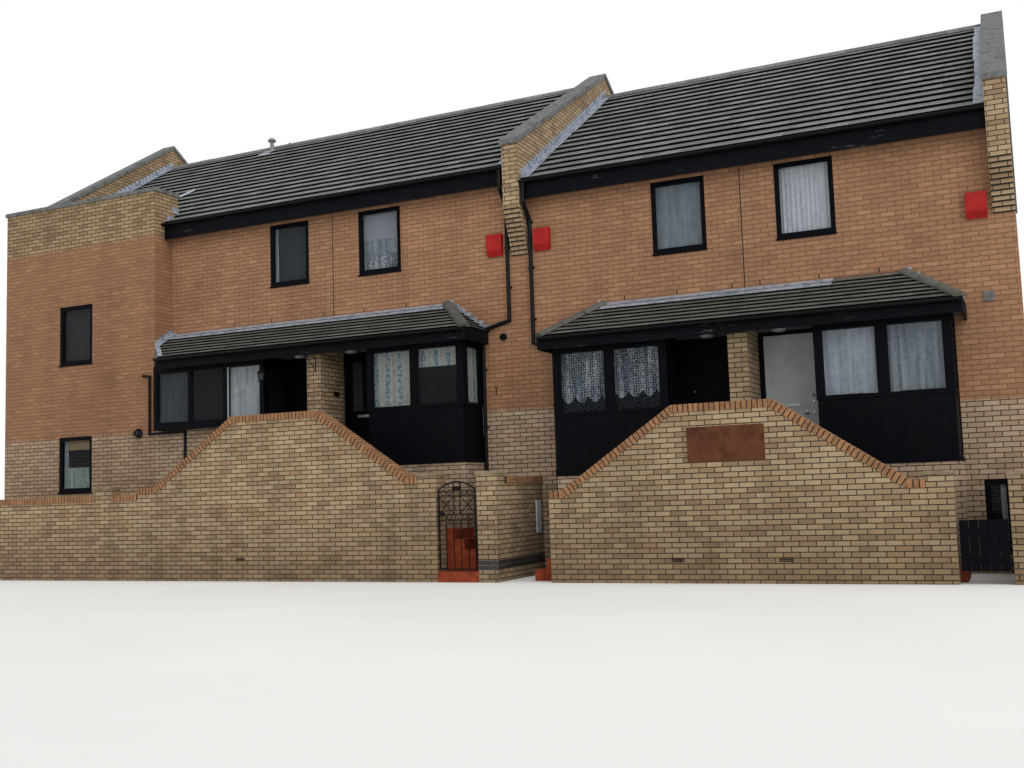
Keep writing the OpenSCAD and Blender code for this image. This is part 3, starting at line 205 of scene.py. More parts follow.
def node(tree, kind, inputs=None, stops=(), **settings):
    """Adds a node with its settings and its (position, hex colour) stops. Each input is given a value,
    a hex colour, or a link from a socket or from a node's first live output."""
    made = tree.nodes.new("ShaderNode" + kind)
    for name, value in settings.items():
        setattr(made, name, value)
    for name, value in (inputs or {}).items():
        if isinstance(value, bpy.types.Node):
            value = next(socket for socket in value.outputs if socket.enabled)
        if isinstance(value, bpy.types.NodeSocket):
            tree.links.new(value, made.inputs[name])
        else:
            made.inputs[name].default_value = linear(value) if isinstance(value, str) else value
    if stops:
        band = made.color_ramp.elements
        while len(band) < len(stops):
            band.new(0.5)
        for element, (position, colour) in zip(band, stops):
            element.position, element.color = position, linear(colour)
    return made


def new_material(name):
    """An empty material's node tree, and the place on the surface in metres."""
    made = bpy.data.materials.new(name)
    made.use_nodes = True
    made.node_tree.nodes.clear()
    return made.node_tree, node(made.node_tree, "TexCoord").outputs["Object"]


def close_material(tree, colour, roughness, height=None, depth_mm=0, **others):
    """Ends a material in its one shader, its relief depth_mm deep."""
    inputs = {"Base Color": colour, "Roughness": roughness, **others}
    if height is not None:
        inputs["Normal"] = node(tree, "Bump", {"Height": height, "Distance": depth_mm * MM})
    node(tree, "OutputMaterial", {"Surface": node(tree, "BsdfPrincipled", inputs)})


def blobs(where, size_mm, detail=4.0, rough=0.6):
    """The inputs of noise whose blobs are about size_mm across."""
    return {"Vector": where, "Scale": 1 / (size_mm * MM), "Detail": detail, "Roughness": rough}


# Wire-cut facing bricks in three clays, each 215 by 65 mm in a stretcher bond: kiln colour varies
# from brick to brick
BUFF = ((0.0, "#877155"), (0.3, "#9a8363"), (0.6, "#a38e6f"), (0.85, "#aa9676"), (1.0, "#957859"))
# The lower walls' greyer buff, painted lighter to lift the shade that falls under the bays
GREY_BUFF_PAINTED_LIGHT = ((0.0, "#978269"), (0.3, "#a58f75"), (0.6, "#ac977d"), (0.85, "#b39f86"), (1.0, "#a0886e"))
ORANGE = ((0.0, "#906a4d"), (0.35, "#987052"), (0.8, "#9d7455"), (1.0, "#a67c5d"))
# The garden brick's joints are near black: dark mortar, and painted shadow in the raked joints
DARK_MORTAR_AND_SHADE, GREY_JOINT, ORANGE_JOINT = "#261c16", "#3a2a22", "#74533c"
WHITE, BLACK = "#ffffff", "#000000"


def brickwork(name, low_mm, high_mm, opts, buff=GREY_BUFF_PAINTED_LIGHT, joints=GREY_JOINT, painted_shade=WHITE, grime=0.25,
              step_mm=None):
    """Brickwork of one buff brick, an orange band between two heights and a yellower buff above, multiplied
    by a painted shade tint where one is given, and weathered. The band starts a step higher where x is less
    than step_mm."""
    tree, where = new_material(name)
    x, y, z = node(tree, "SeparateXYZ", {"Vector": where}).outputs
    facing = node(tree, "SeparateXYZ", {"Vector": node(tree, "NewGeometry").outputs["Normal"]})
    across = node(tree, "Math", {0: facing}, operation="ABSOLUTE")
    sideways = node(tree, "Math", {0: across, 1: 0.7}, operation="GREATER_THAN")
    run = node(tree, "Mix", {"Factor": sideways, 2: x, 3: y})
    laid = node(tree, "Math", {0: z, 1: FIRST_BED * MM}, operation="SUBTRACT")
    bricks = node(tree, "TexBrick", {
        "Vector": node(tree, "CombineXYZ", {"X": run, "Y": laid}), "Scale": 1.0,
        "Brick Width": 3 * COURSE * MM, "Row Height": COURSE * MM, "Mortar Size": opts.mortar_edge,
        "Mortar Smooth": 0.2, "Color1": BLACK, "Color2": WHITE, "Mortar": (0.5, 0.5, 0.5, 1)}, offset=0.5)
    floor = low_mm * MM
    if step_mm is not None:
        beyond = node(tree, "Math", {0: x, 1: ORIGIN_X + step_mm * MM}, operation="LESS_THAN")
        step = node(tree, "Math", {0: beyond, 1: STEP_UP * MM}, operation="MULTIPLY")
        floor = node(tree, "Math", {0: step, 1: floor}, operation="ADD")
    above = node(tree, "Math", {0: z, 1: floor}, operation="GREATER_THAN")
    below = node(tree, "Math", {0: z, 1: high_mm * MM}, operation="LESS_THAN")
    band = node(tree, "Math", {0: above, 1: below}, operation="MULTIPLY")
    low, high, middle = (node(tree, "ValToRGB", {"Fac": bricks}, clay) for clay in (buff, BUFF, ORANGE))
    clay = node(tree, "Mix", {"Factor": above, 6: low, 7: high}, data_type="RGBA")
    clay = node(tree, "Mix", {"Factor": band, 6: clay, 7: middle}, data_type="RGBA")
    # A painted shade tint multiplies the clay, white where none is given
    clay = node(tree, "Mix", {"Factor": 1.0, 6: clay, 7: painted_shade}, data_type="RGBA", blend_type="MULTIPLY")
    # Sand faces: specks of a few millimetres, drawn at 12 mm so that they show
    speck = node(tree, "TexNoise", blobs(where, 12, 3.0, 0.7))
    sand = node(tree, "ValToRGB", {"Fac": speck}, ((0.3, "#4a3d33"), (0.7, "#b9a384")))
    clay = node(tree, "Mix", {"Factor": 0.12, 6: clay, 7: sand}, data_type="RGBA", blend_type="OVERLAY")
    mortar = node(tree, "Mix", {"Factor": band, 6: joints, 7: ORANGE_JOINT}, data_type="RGBA")
    colour = node(tree, "Mix", {"Factor": bricks.outputs["Fac"], 6: clay, 7: mortar}, data_type="RGBA")
    # Rain streaks run down the wall, and soot gathers in broad patches
    streaks = node(tree, "Mapping", {"Vector": where, "Scale": (1.0, 1.0, 0.16)})
    soot = node(tree, "Math", {0: node(tree, "TexNoise", blobs(streaks, 420, 6.0)),
                               1: node(tree, "TexNoise", blobs(where, 1700, 3.0))}, operation="MULTIPLY")
    mask = node(tree, "ValToRGB", {"Fac": soot}, ((0.18, BLACK), (0.42, WHITE)))
    mask = node(tree, "Math", {0: mask, 1: grime}, operation="MULTIPLY")
    colour = node(tree, "Mix", {"Factor": mask, 6: colour, 7: "#4c4136"}, data_type="RGBA",
                  blend_type="MULTIPLY")
    # Splashed soil and algae darken the lowest 1.4 m
    rise = node(tree, "Math", {0: z, 1: 0.5}, operation="MULTIPLY")
    splash = node(tree, "ValToRGB", {"Fac": rise}, ((0.0, WHITE), (0.7, BLACK)))
    splash = node(tree, "Math", {0: splash, 1: 0.5}, operation="MULTIPLY")
    colour = node(tree, "Mix", {"Factor": splash, 6: colour, 7: "#8a7a58"}, data_type="RGBA",
                  blend_type="MULTIPLY")
    face = node(tree, "Math", {0: speck, 1: 0.25}, operation="MULTIPLY")
    height = node(tree, "Math", {0: face, 1: bricks.outputs["Fac"]}, operation="SUBTRACT")
    close_material(tree, colour, 0.88, height, 6)


def mottled(name, colours, size_mm, roughness, depth_mm=0.6, tint=0.0, metallic=0.0, gloss=0.5, worn=None):
    """A cast, painted or fired surface: ramped noise, darker and lighter from piece to piece, and
    scratched along X to a worn colour where one is given."""
    tree, where = new_material(name)
    grain = node(tree, "TexNoise", blobs(where, size_mm, 5.0))
    steps = len(colours) - 1
    stops = [(0.3 + 0.4 * i / steps, each) for i, each in enumerate(colours)]
    colour = node(tree, "ValToRGB", {"Fac": grain}, stops)
    if tint:
        shade = node(tree, "Attribute", attribute_name="tint").outputs["Fac"]
        grey = node(tree, "ValToRGB", {"Fac": shade}, ((0.0, "#5a5a5a"), (0.5, "#808080"), (1.0, "#a8a8a8")))
        colour = node(tree, "Mix", {"Factor": tint, 6: colour, 7: grey}, data_type="RGBA",
                      blend_type="OVERLAY")
    if worn:
        along = node(tree, "Mapping", {"Vector": where, "Scale": (0.12, 1.0, 1.0)})
        lines = node(tree, "ValToRGB", {"Fac": node(tree, "TexNoise", blobs(along, 45, 6.0))},
                     ((0.62, BLACK), (0.72, WHITE)))
        fading = node(tree, "ValToRGB", {"Fac": node(tree, "TexNoise", blobs(where, 1500))},
                      ((0.48, BLACK), (0.62, WHITE)))
        scratch = node(tree, "Math", {0: lines, 1: fading}, operation="MULTIPLY")
        colour = node(tree, "Mix", {"Factor": scratch, 6: colour, 7: worn}, data_type="RGBA")
    close_material(tree, colour, roughness, grain, depth_mm, **{"Metallic": metallic,
                                                                "Specular IOR Level": gloss})


def net_curtain(name, pale, dark, spots_mm, floral_below=0):
    """Woven net hanging in thin folds, with painted shade and light along them, thinner in soft spots, with
    petals of solid thread below a height. The mesh itself, of 1 mm, is too fine to show, so only its folds,
    as painted shade and light, and its spots are drawn."""
    tree, where = new_material(name)
    # Painted shade and light of the folds: noise stretched down the cloth, ramped from dark to pale
    hang = node(tree, "Mapping", {"Vector": where, "Scale": (1.0, 1.0, 0.07)})
    folds = node(tree, "ValToRGB", {"Fac": node(tree, "TexNoise", blobs(hang, 45, 3.0))},
                 ((0.35, dark), (0.6, pale)))
    spots = node(tree, "ValToRGB", {"Fac": node(tree, "TexNoise", blobs(where, spots_mm, 3.0))},
                 ((0.4, dark), (0.6, pale)))
    colour = node(tree, "Mix", {"Factor": 0.35, 6: folds, 7: spots}, data_type="RGBA")
    if floral_below:
        petals = node(tree, "TexVoronoi", {"Vector": where, "Scale": 1 / (60 * MM)}, feature="SMOOTH_F1")
        petals = node(tree, "ValToRGB", {"Fac": petals}, ((0.25, WHITE), (0.4, BLACK)))
        height = node(tree, "SeparateXYZ", {"Vector": where}).outputs["Z"]
        low = node(tree, "Math", {0: height, 1: floral_below * MM}, operation="LESS_THAN")
        drawn = node(tree, "Math", {0: petals, 1: low}, operation="MULTIPLY")
        drawn = node(tree, "Math", {0: drawn, 1: 0.5}, operation="MULTIPLY")
        colour = node(tree, "Mix", {"Factor": drawn, 6: colour, 7: "#e2e8ec"}, data_type="RGBA")
    close_material(tree, colour, 0.9, folds, 0.8)


def lace_curtain(name):
    """Machine lace: white cotton round rows of eyelets, through which the dark room shows, darkened in places
    by painted shade of its folds. The real eyelets are a few millimetres apart, and are drawn 40 mm apart so
    that they show."""
    tree, where = new_material(name)
    cells = node(tree, "TexVoronoi", {"Vector": where, "Scale": 1 / (40 * MM), "Randomness": 0.3},
                 feature="F1")
    thread = node(tree, "Math", {0: node(tree, "TexNoise", blobs(where, 16, 3.0)), 1: 0.35},
                  operation="MULTIPLY")
    holes = node(tree, "Math", {0: cells, 1: thread}, operation="ADD")
    lace = node(tree, "ValToRGB", {"Fac": holes}, ((0.5, "#1a2024"), (0.62, "#7f8b93"), (0.76, "#b0babf")))
    # Painted shade of the folds: broad patches stretched down the cloth darken the lace
    hang = node(tree, "Mapping", {"Vector": where, "Scale": (1.0, 1.0, 0.2)})
    shade = node(tree, "ValToRGB", {"Fac": node(tree, "TexNoise", blobs(hang, 110, 3.0))},
                 ((0.36, "#8f9ba4"), (0.6, WHITE)))
    colour = node(tree, "Mix", {"Factor": 1.0, 6: lace, 7: shade}, data_type="RGBA", blend_type="MULTIPLY")
    close_material(tree, colour, 0.9, holes, 0.8)


def printed_cotton(name):
    """Plain-woven white cotton printed with upright sprays of blue and ochre leaves 240 mm apart."""
    tree, where = new_material(name)
    x, y, _ = node(tree, "SeparateXYZ", {"Vector": where}).outputs
    run = node(tree, "Math", {0: x, 1: y}, operation="ADD")
    turns = node(tree, "Math", {0: run, 1: 2 * math.pi / (240 * MM)}, operation="MULTIPLY")
    bands = node(tree, "Math", {0: turns}, operation="SINE")
    leaves = node(tree, "TexNoise", blobs(where, 38, 2.0))
    colour = node(tree, "ValToRGB", {"Fac": node(tree, "TexNoise", blobs(where, 120))},
                  ((0.3, "#a1a9a4"), (0.7, "#b9c0ba")))
    for ink, test, edge, strength, stops in (
            ("#4f7f95", "GREATER_THAN", 0.35, 1.0, ((0.46, BLACK), (0.54, WHITE))),
            ("#a58f55", "LESS_THAN", -0.8, 0.7, ((0.5, BLACK), (0.56, WHITE)))):
        spray = node(tree, "Math", {0: bands, 1: edge}, operation=test)
        leaf = node(tree, "ValToRGB", {"Fac": leaves}, stops)
        mask = node(tree, "Math", {0: spray, 1: leaf}, operation="MULTIPLY")
        mask = node(tree, "Math", {0: mask, 1: strength}, operation="MULTIPLY")
        colour = node(tree, "Mix", {"Factor": mask, 6: colour, 7: ink}, data_type="RGBA")
    close_material(tree, colour, 0.9, leaves, 0.3)


def make_materials(opts):
    """Makes every finish of the row, each named for its real one or for the light or shade painted in it."""
    left_band, never = BAND_Z + STEP_UP, 99000
    brickwork("left pair facing brick", left_band, never, opts)
    brickwork("right pair facing brick", BAND_Z, never, opts, step_mm=900)
    # The end house's brick is darkened by a painted shade tint
    brickwork("end house facing brick", left_band, EAVES_Z, opts, painted_shade=(*opts.end_house_shade, 1.0))
    brickwork("middle pier facing brick", left_band, MIDDLE_FOOT, opts)
    brickwork("end pier facing brick", BAND_Z, END_FOOT, opts)
    brickwork("buff garden brick", never, never, opts, BUFF, DARK_MORTAR_AND_SHADE, grime=0.4)
    # Wire-cut orange brick laid on edge, darkened where rain stands on it
    mottled("brick on edge", ("#7a5436", "#976b45", "#a5774e", "#86603f"), 60, 0.85, 1.0, tint=0.5)
    # Cement mortar struck by trowel: rough and near black with soot. The same near black is painted shade in
    # the strips under the corbelled courses
    mottled("coping mortar and painted shade", ("#15110e", "#221b16"), 30, 0.95, 1.0)
    # Blue engineering brick, fired dense: darker and smoother than facing brick
    mottled("blue engineering brick", ("#1d1a1f", "#2a262b", "#352d30"), 40, 0.5, 0.5, tint=0.6)
    # Interlocking concrete tile: granular face gone grey, with pale lichen
    mottled("weathered concrete tile", ("#676968", "#787a78", "#858784", "#6f6d69"), 70, 0.92, 0.8, tint=0.5,
            gloss=0.2)
    # The tiles' noses, a lighter grey: a painted highlight along each course
    mottled("tile nose painted highlight", ("#767978", "#868988", "#949795", "#7d7c79"), 50, 0.92, 0.8, tint=0.7,
            gloss=0.2)
    # The tiles' lower edges, near black: painted shade of the dark line under each course
    mottled("tile edge painted shade", ("#060607", "#0b0b0c", "#100f10"), 40, 0.95, 0.8, gloss=0.05)
    # The same tile low over the bays, where it dries slowly and greens
    mottled("damp concrete tile", ("#51504a", "#5f5e56", "#6b6a64", "#56544c"), 70, 0.9, 0.8, tint=0.5,
            gloss=0.2)
    # Its noses, lighter: a painted highlight along each course
    mottled("damp tile nose painted highlight", ("#5e5e56", "#6d6d64", "#79796f"), 50, 0.9, 0.8, tint=0.7, gloss=0.2)
    # Cast stone, dark with lichen on the copings and warm on the piers' caps
    mottled("cast stone coping", ("#595b5c", "#767979", "#8c8e8c", "#6a6b69"), 140, 0.95, 1.5, tint=0.5,
            gloss=0.2)
    mottled("weathered cap stone", ("#78644b", "#958167", "#a89a84"), 90, 0.9, 1.2, tint=0.5)
    # Milled sheet lead, dressed by hand: dull blue grey with a white bloom
    mottled("sheet lead", ("#616a76", "#808a97", "#a3abb6", "#6e7783"), 130, 0.55, 2.5, metallic=0.35)
    # Black stained softwood: satin, faintly brown where the stain is thin
    mottled("black stained softwood", ("#03040a", "#05060c", "#08080d", "#04050a"), 160, 0.55, 0.4,
            gloss=0.05)
    # The same stain on the boards under the eaves, bleached and scratched by the weather
    mottled("weathered black boards", ("#04050a", "#07080e", "#0c0c11", "#05060b"), 160, 0.6, 0.4, gloss=0.06,
            worn="#55565c")
    # Brushed gloss paint gone chalky: even, with a soft sheen
    mottled("pale grey painted door", ("#9ba2a4", "#a7aeb0", "#b2b8ba"), 300, 0.45, 0.2)
    mottled("white painted bead", ("#9da3a5", "#b1b7b8"), 120, 0.5, 0.1)
    # Extruded black uPVC: smooth, with dust
    mottled("black uPVC", ("#06070a", "#0a0b0f", "#101014"), 200, 0.35, 0.1, gloss=0.12)
    # Wrought iron under many coats of black paint: lumpy, barely glossy
    mottled("black wrought iron", ("#060608", "#0a0a0c", "#131010"), 30, 0.5, 0.4, gloss=0.1)
    # Moulded ABS and polycarbonate: even colour, dulled by sun
    mottled("red moulded ABS", ("#86100e", "#991613", "#a41e18"), 240, 0.45, 0.1, gloss=0.2)
    mottled("opal polycarbonate", ("#868680", "#9c9c96"), 120, 0.3, 0.1)
    mottled("grey moulded plastic", ("#5f5d5b", "#77746f", "#85817c"), 60, 0.6, 0.3)
    # Red pigmented concrete, trowelled: worn darker on the treads
    mottled("red concrete paving", ("#5e2615", "#7a331b", "#8a4023"), 120, 0.8, 0.8, gloss=0.2)
    # Brushed steel and lacquered brass, dulled by hands and rain
    mottled("satin steel", ("#8c8f90", "#a9abab"), 60, 0.35, 0.1, metallic=1.0)
    mottled("dulled brass", ("#6d5320", "#8a6a2c"), 40, 0.35, 0.1, metallic=1.0)
    # Rolled glass over a dark hall, and black pointing mastic
    mottled("dark door glass", ("#15191d", "#22282d", "#2b3237"), 200, 0.15, 0.1, gloss=0.3)
    mottled("dark mastic", ("#120c0b", "#1f1613"), 60, 0.8, 0.3)
    # Rolled steel sheet rusted all over: matt and brown
    mottled("rusted steel sheet", ("#3f2112", "#4f2c17", "#5a341c", "#452614"), 260, 0.75, 0.4, gloss=0.2)
    # Inside: sawn softwood floors and cement screed, dull and unlit
    mottled("sawn floor boards", ("#4c3a2a", "#61492f"), 200, 0.7, 0.5)
    mottled("screed", ("#4d4b47", "#5f5c57"), 200, 0.9, 0.6)
    # Blinds of coarse linen and of coated roller cloth: flat and matt. The pale roller cloth is a painted
    # reflection of the sky in the top of one window
    mottled("linen blind", ("#8a7653", "#9b8662"), 80, 0.9, 0.4)
    mottled("painted sky reflection", ("#979ca8", "#a4a9b4"), 300, 0.8, 0.1)
    # Polyester nets and voiles, pale to near black. Two dim grey voiles are painted shade of the dark rooms
    # behind them, and a pale voile in the wide bay is a painted reflection of the sky
    for name, pale, dark, spots_mm, floral_below in (
            ("pale net", "#dde5eb", "#b9c3cb", 70, SILL_Z + 560), ("grey net", "#8f9da7", "#72808a", 150, 0),
            ("lavender net", "#bcc7d4", "#97a3b1", 90, 0), ("shaded net", "#a0adb6", "#6c7983", 60, 0),
            ("kitchen net", "#a9bcb9", "#6f807f", 55, 0), ("white voile and painted sky reflection", "#c3ccd0", "#8f999f", 160, 0),
            ("dim voile", "#434c4f", "#272e30", 180, 0), ("room shade voile", "#2f3538", "#1f2426", 200, 0),
            ("black voile", "#15181c", "#0e1013", 300, 0)):
        net_curtain(name, pale, dark, spots_mm, floral_below)
    lace_curtain("cotton lace")
    printed_cotton("printed cotton")
    # Float glass in a sealed unit: dark by day, with a thin painted reflection of the street in its mottled
    # colour
    tree, where = new_material("float glass")
    painted_street_reflection = node(tree, "ValToRGB", {"Fac": node(tree, "TexNoise", blobs(where, 700))},
                ((0.3, "#14191d"), (0.7, "#2a3238")))
    close_material(tree, painted_street_reflection, 0.03, **{"Alpha": opts.glass_tint, "IOR": 1.5, "Specular IOR Level": 0.3})


# Parts of the row

CAD_FINISHES = {
    "left pair facing brick": ("left_front_lower_wall", "left_front_upper_wall", "left_rear_wall"),
    "right pair facing brick": ("right_front_lower_wall", "right_front_upper_wall", "right_rear_wall"),
    "end house facing brick": ("left_gable_wall", "block_front_wall", "block_side_wall"),
    "middle pier facing brick": ("mid_party_wall",),
    "end pier facing brick": ("end_party_wall",),
    "buff garden brick": ("left_stair_wall", "right_stair_wall", "garden_walls", "porch_piers"),
    "cast stone coping": ("wall_copings", "block_coping"),
    "coping mortar and painted shade": ("stair_copings", "garden_copings"),
    "weathered concrete tile": ("left_roof", "right_roof", "left_bay_roof", "right_bay_roof", "ridge_tiles"),
    "weathered black boards": ("fascia_boards",),
    "black stained softwood": ("left_bay_frames", "right_bay_frames", "bay_panels",
                               "door_frames", "window_frames", "left_house_1_door", "left_house_2_door",
                               "right_house_1_door", "boarded_gate"),
    "pale grey painted door": ("right_house_2_door",),
    "black uPVC": ("gutters", "downpipes"),
    "black wrought iron": ("gate_pintles", "iron_gate"),
    "red moulded ABS": ("alarm_boxes",),
    "opal polycarbonate": ("wall_lights",),
    "red concrete paving": ("left_steps", "right_steps"),
    "sawn floor boards": ("upper_floors",),
    "screed": ("ground_floor",),
    "float glass": ("bay_glass", "window_glass"),
}


def finish_solids():
    """Gives each solid of the row its one finish."""
    for finish, names in CAD_FINISHES.items():
        for name in names:
            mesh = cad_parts[name].data
            mesh.materials.clear()
            mesh.materials.append(bpy.data.materials[finish])


def lay_tile(shape, base, normal, thick, rng):
    """One tile on its four base corners: a butt edge in painted shade, a nose painted pale as a highlight and
    a grey back.
    """
    lift = [thick + rng.uniform(-2, 2)] * 2 + [3, 3]
    top = [q + normal * h for q, h in zip(base, lift)]
    # The nose strip, painted pale as a highlight
    worn = [top[0].lerp(top[3], NOSE), top[1].lerp(top[2], NOSE)]
    tint = rng.random()
    faces = [(0, 1, 2, 3), (4, 5, 9, 8), (8, 9, 6, 7), (2, 3, 7, 6), (0, 4, 8, 7, 3), (1, 2, 6, 9, 5)]
    shape.add(base + top + worn, faces, [BACK, HIGHLIGHT_NOSE] + [BACK] * 4, tint)
    shape.add(base[:2] + top[:2], [(0, 1, 3, 2)], BUTT, tint)


def tile_slope(shape, origin, along, up, length, courses, span, thick, rng, left=None, right=None,
               bottom=0):
    """Courses of tiles on a slope. origin is a point on its lower edge, span its start and end
    along it, left and right give those ends at a height up the slope, and none lies below bottom."""
    joint, lap, sliver = 4, 10, 8
    normal = Vector(along).cross(Vector(up))
    if normal.z < 0:
        normal = -normal
    along, up, origin = Vector(along), Vector(up), Vector(origin)
    gauge = length / courses
    start = left or (lambda s: span[0])
    end = right or (lambda s: span[1])
    for c in range(courses):
        low, high = max(c * gauge, bottom), min((c + 1) * gauge + lap, length)
        if high - low < gauge / 4:
            continue
        shift = TILE_W / 2 * (c % 2)
        k = math.floor((min(start(low), start(high)) - shift) / TILE_W)
        while k * TILE_W + shift < max(end(low), end(high)):
            a, b = k * TILE_W + shift, (k + 1) * TILE_W + shift - joint
            k += 1
            corners = [(max(a, start(low)), low), (min(b, end(low)), low),
                       (min(b, end(high)), high), (max(a, start(high)), high)]
            if corners[1][0] - corners[0][0] < sliver and corners[2][0] - corners[3][0] < sliver:
                continue
            corners[1] = (max(corners[1][0], corners[0][0] + 1), low)
            corners[2] = (max(corners[2][0], corners[3][0] + 1), high)
            lay_tile(shape, [origin + along * p + up * s for p, s in corners], normal, thick, rng)


ROOF_FINISHES = ["weathered concrete tile", "tile edge painted shade", "tile nose painted highlight"]
BAY_ROOF_FINISHES = ["damp concrete tile", "tile edge painted shade", "damp tile nose painted highlight"]


def roof_tiles(rng, thick):
    """Tiles of both main roofs, front and rear, cut round the end house's parapet."""
    rise, run = math.sin(PITCH), math.cos(PITCH)
    up_front, up_rear = (0, run, rise), (0, -run, rise)
    edge, under_ridge = 5, 40
    length = ROOF_RUN / run - under_ridge
    for name, lift, x0, x1 in (("left_roof_tiles", STEP_UP, BLOCK_X, -PARTY),
                               ("right_roof_tiles", 0, PARTY, END_X)):
        shape = Shape()
        front, rear = (0, EAVES_Y, EAVES_Z + lift), (0, REAR_Y - EAVES_Y, EAVES_Z + lift)
        slopes = [(front, up_front, (x0, x1), 0), (rear, up_rear, (GABLE_IN if lift else x0, x1), 0)]
        if lift:
            slopes += [(front, up_front, (GABLE_IN, BLOCK_X - 2 * PARTY), 0),
                       (front, up_front, (BLOCK_X - 2 * PARTY - edge, BLOCK_X + 2 * edge),
                        (RETURN_END_Y + 10 - EAVES_Y) / run)]
        for origin, up, (a, b), bottom in slopes:
            tile_slope(shape, origin, (1, 0, 0), up, length, ROOF_COURSES, (a + edge, b - edge), thick, rng,
                       bottom=bottom)
        shape.piece(name, ROOF_FINISHES, "roof_tile")


def ridge_run(rng):
    """Half-round ridge tiles bedded end to end."""
    shape = Shape()
    outer, wall, gap, each = 130, 18, 6, 450
    top = EAVES_Z + ROOF_RUN * math.tan(PITCH)
    for x0, x1, lift in ((GABLE_IN, -PARTY, STEP_UP), (PARTY, END_X, 0)):
        x = x0
        while x < x1 - 1:
            end = min(x + each, x1)
            turns = [math.radians(8 + 164 * k / 12) for k in range(13)]
            z = top + lift - outer / 2 + rng.uniform(-2, 2)
            ring, inner = ([(RIDGE_Y + radius * math.cos(a), z + radius * math.sin(a)) for a in turns]
                           for radius in (outer, outer - wall))
            shape.along_x(ring + inner[::-1], x, end - gap, tint=rng.random())
            x = end
    shape.piece("ridge_run", ["weathered concrete tile"], "roof_tile", replaces=("ridge_tiles",))


def hip_tiles(shape, foot, head, rng):
    """Three round hip tiles from the foot of a hip to its head, each tapering into the next."""
    radius, rise, sunk, taper = 105, 76, 6, 0.97
    for k in range(3):
        a, b = foot.lerp(head, k / 3), foot.lerp(head, (k + 1) / 3 - 0.01)
        side = (b - a).cross(Vector((0, 0, 1))).normalized()
        over = side.cross(b - a).normalized()
        if over.z < 0:
            over = -over
        turns = [math.radians(180 * j / 8) for j in range(9)]
        arc = [side * radius * math.cos(t) + over * (rise * math.sin(t) - sunk) for t in turns]
        shape.prism([a + p for p in arc], [b + p * taper for p in arc], tint=rng.random())


def bay_tiles(rng):
    """Lean-to tiles over bays and porches, mitred under hip tiles at the open ends."""
    run, rise = -BAY_EDGE_Y, BAY_TOP_Z - BAY_EDGE_Z
    length, side_length = math.hypot(run, rise), math.hypot(HIP_RUN, rise)
    cut_run, trim, joint = 450, 25, 4
    for name, x0, x1, lift in (("left_bay_tiles", BLOCK_X, LEFT_BAY_END, STEP_UP),
                               ("right_bay_tiles", RIGHT_BAY_START, RIGHT_BAY_END, 0)):
        shape = Shape()
        z = BAY_EDGE_Z + lift

        def left_end(s, x0=x0, lift=lift):
            """The cut end beside the end house, or the hip."""
            if lift:
                return x0 + max(0, BAY_CUT * (1 - s * run / length / cut_run))
            return x0 + HIP_RUN * s / length

        tile_slope(shape, (0, BAY_EDGE_Y, z), (1, 0, 0), (0, run / length, rise / length), length - trim,
                   BAY_COURSES, (x0, x1), BAY_TILE, rng, left_end, lambda s, x1=x1: x1 - HIP_RUN * s / length)
        for x, towards in [(x1, -1)] if lift else [(x1, -1), (x0, 1)]:
            slope = (towards * HIP_RUN / side_length, 0, rise / side_length)
            tile_slope(shape, (x, BAY_EDGE_Y, z), (0, 1, 0), slope, side_length - trim, BAY_COURSES, (0, run),
                       BAY_TILE, rng, lambda s: run * s / side_length, lambda s: run - joint)
            hip_tiles(shape, Vector((x, BAY_EDGE_Y, z)), Vector((x + towards * HIP_RUN, 0, z + rise)), rng)
        shape.piece(name, BAY_ROOF_FINISHES, "roof_tile")


def brick_coping(shape, points, rng):
    """Bricks on edge along a line of (x, z) points on a wall's top, with cut bricks at its bends."""
    bed, proud = COPING_BED, COPING_PROUD
    reach = EDGE_H + proud
    for (xa, za), (xb, zb) in zip(points, points[1:]):
        span = math.hypot(xb - xa, zb - za)
        ux, uz = (xb - xa) / span, (zb - za) / span
        count = max(1, round(span / COURSE))
        step = span / count
        for k in range(count):
            a, b = k * step + bed, (k + 1) * step - bed
            quad = [(a, 0), (b, 0), (b, reach), (a, reach)]
            outline = [(xa + ux * p - uz * q, za + uz * p + ux * q) for p, q in quad]
            wobble = rng.uniform(-1.5, 1.5)
            shape.along_y(outline, WALL_FRONT - proud + wobble, WALL_BACK + proud + wobble, rng.random())
    for (xa, za), (xb, zb), (xc, zc) in zip(points, points[1:], points[2:]):
        first, second = math.atan2(zb - za, xb - xa), math.atan2(zc - zb, xc - xb)
        if second < first - 0.05:
            edge = [(xb - math.sin(t) * reach, zb + math.cos(t) * reach)
                    for t in (second, (first + second) / 2, first)]
            shape.along_y([(xb, zb)] + edge, WALL_FRONT - proud, WALL_BACK + proud, rng.random())


def stair_line(x0, x1, x2, x3, low, high):
    """The top of a stair wall: level, up beside seven goings of 250 mm, level and down again."""
    run = 7 * 250
    return [(x0, low), (x1 - run, low), (x1, high), (x2, high), (x2 + run, low), (x3, low)]


